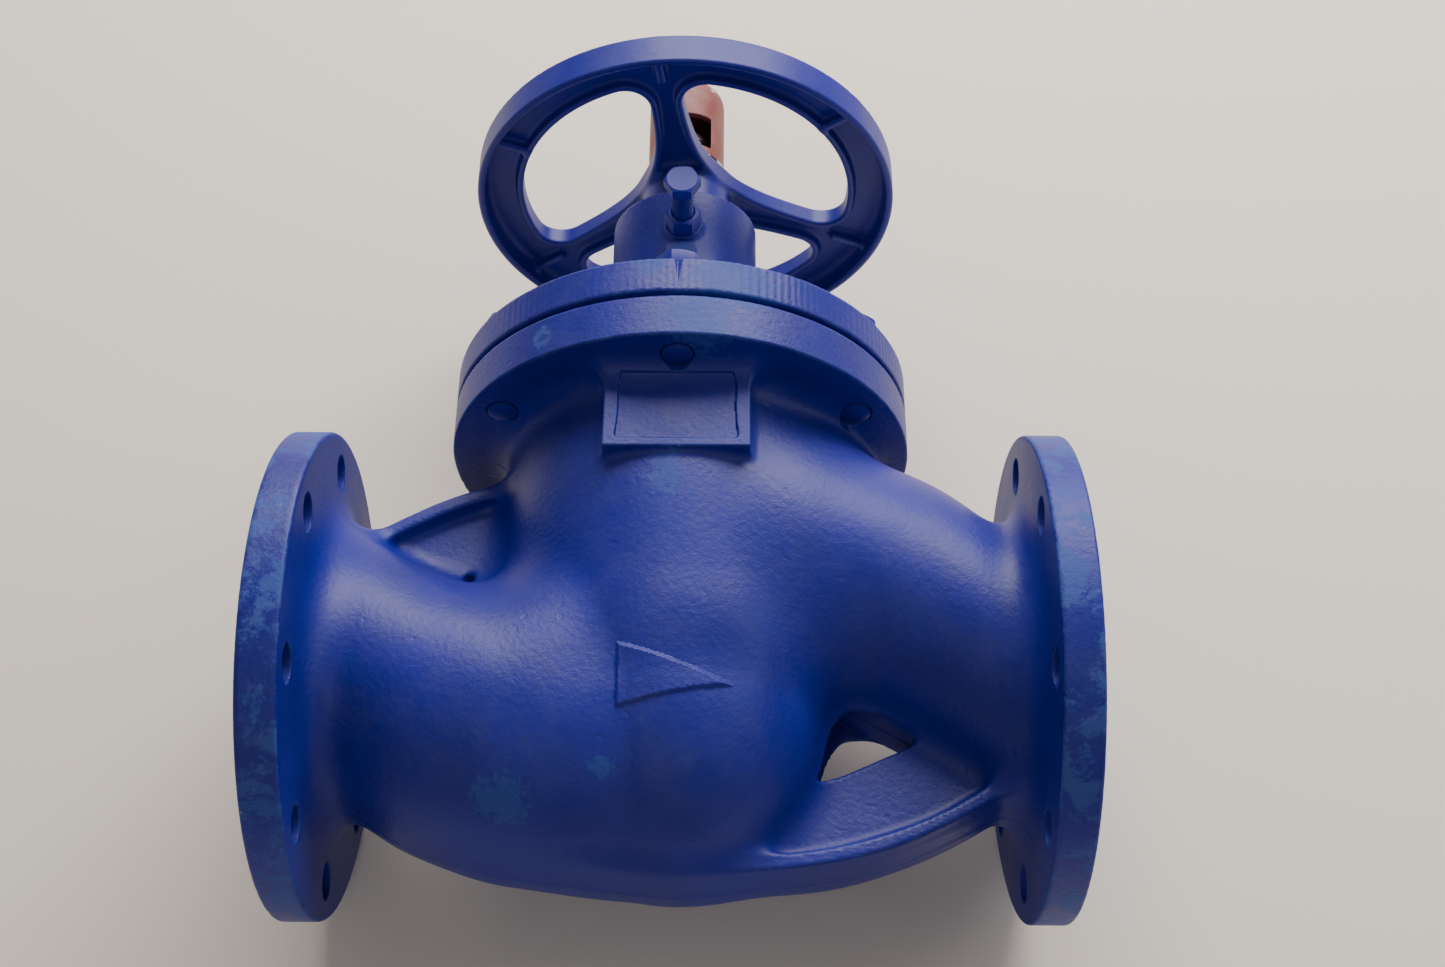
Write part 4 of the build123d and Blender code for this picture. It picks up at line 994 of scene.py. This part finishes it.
def makePlastic():
    material, tree, shader, position, normal = newMaterial("redBrownPlastic")
    cloud = noise(tree, position, 55.0, 4.0, 0.6)
    colour = mixColour(tree, ramp(tree, cloud, 0.35, 0.7), plastic["colour"], plastic["pale"])
    edge = addNode(tree, "ShaderNodeAttribute", attribute_name="edgeMask").outputs["Fac"]
    marks = useGroup(tree, wornPaint, {"Position": position, "Edge": ramp(tree, edge, 0.2, 0.7), "Amount": 0.4,
                                       "Patch Size": 120.0})
    colour = mixColour(tree, calc(tree, "MULTIPLY", marks["Scuff"], 0.6), colour, plastic["pale"])
    parts = addNode(tree, "ShaderNodeSeparateXYZ", {0: position})
    highEnd = ramp(tree, parts.outputs["Y"], cap["high"] * mm - 0.0035, cap["high"] * mm - 0.0012)
    line = calc(tree, "MULTIPLY", highEnd, ramp(tree, noise(tree, position, 150.0, 3.0), 0.4, 0.6))
    colour = mixColour(tree, line, colour, plastic["overspray"])
    spot = useGroup(tree, rubbedSpot, {"Position": position, "Centre": plastic["spot"], "Radius": 0.003,
                                       "Grain": 600.0})
    dust = useGroup(tree, settledDust, {"Position": position, "Normal": normal, "Amount": 0.3})["Mask"]
    colour = mixColour(tree, calc(tree, "MAXIMUM", dust, spot["Mask"]), colour, plastic["dust"])
    fine = noise(tree, position, 1500.0, 2.0)
    connect(tree, shader, Base_Color=colour, Roughness=ramp(tree, cloud, 0.3, 0.7, 0.42, 0.58),
            Normal=bump(tree, fine, 0.15, 0.0001))
    shader.inputs["Subsurface Weight"].default_value = 0.06
    shader.inputs["Subsurface Radius"].default_value = (0.004, 0.0015, 0.001)
    return material


bareNodes = dict(
    stainless=["seat_ring", "disc", "disc_nut", "bellows_carrier", "bellows_ring", "back_seat_bush"],
    bearing=["lower_bearing_near_washer", "lower_bearing_rollers", "lower_bearing_far_washer",
             "upper_bearing_near_washer", "upper_bearing_rollers", "upper_bearing_far_washer"],
    zinc=["gland_screw", "gland_follower", "guide_plate_halves", "bearing_nut", "wheel_key", "tab_washer",
          "wheel_nut"],
    bronze=["stem_bush", "lower_bearing_cage", "upper_bearing_cage"],
    graphite=["body_gasket", "bonnet_gasket", "packing_rings"],
)


def paint(piece, material):
    piece.data.materials.clear()
    piece.data.materials.append(material)


def paintNode(name, material):
    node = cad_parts[name]
    if not node.material_slots:
        node.data.materials.append(None)
    for slot in node.material_slots:
        slot.link = "OBJECT"
        slot.material = material
    node.data.shade_smooth()
    node.data.set_sharp_from_angle(angle=math.radians(30))


def finishPieces(castings, wheelPiece, fasteners, stemPiece, bellowsPiece, capPiece):
    bare = {name: makeMetal(name + "Steel" if name != "bronze" else "bronze", metals[name]) for name in metals}
    bare["graphite"] = makeGraphite()
    for kind, names in bareNodes.items():
        for name in names:
            paintNode(name, bare[kind])
    bodyPiece, bonnetPiece = castings
    paint(bodyPiece, makeEnamel("bodyEnamel", peel=0.8, wear=0.45))
    paint(bonnetPiece, makeEnamel("bonnetEnamel", peel=0.7, wear=0.5, rims=False))
    paint(wheelPiece, makeEnamel("wheelEnamel", peel=0.3, wear=0.2, rims=False, spots=False))
    screwPaint = makeEnamel("fastenerEnamel", peel=0.15, wear=0.2, rims=False, spots=False)
    for piece in fasteners:
        paint(piece, screwPaint)
    # the stem's lower thread is darkened: greasy film and painted shade
    paint(stemPiece, makeMetal("greaseShadedStem", metals["stainless"], greaseShaded=True))
    paint(bellowsPiece, bare["stainless"])
    paint(capPiece, makePlastic())
    say("finishes")


addCamera()
addLights()
addFloor()
say("camera, lights and floor")
castings = [makeBody(), makeBonnet()]
wheelPiece = makeWheel()
capPiece = makeCap()
stemPiece = makeStem()
fasteners = makeLockingScrew() + makeBolts()
bellowsPiece = makeBellows()
say("stem, screws and bellows")
finishPieces(castings, wheelPiece, fasteners, stemPiece, bellowsPiece, capPiece)
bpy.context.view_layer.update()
say("done")
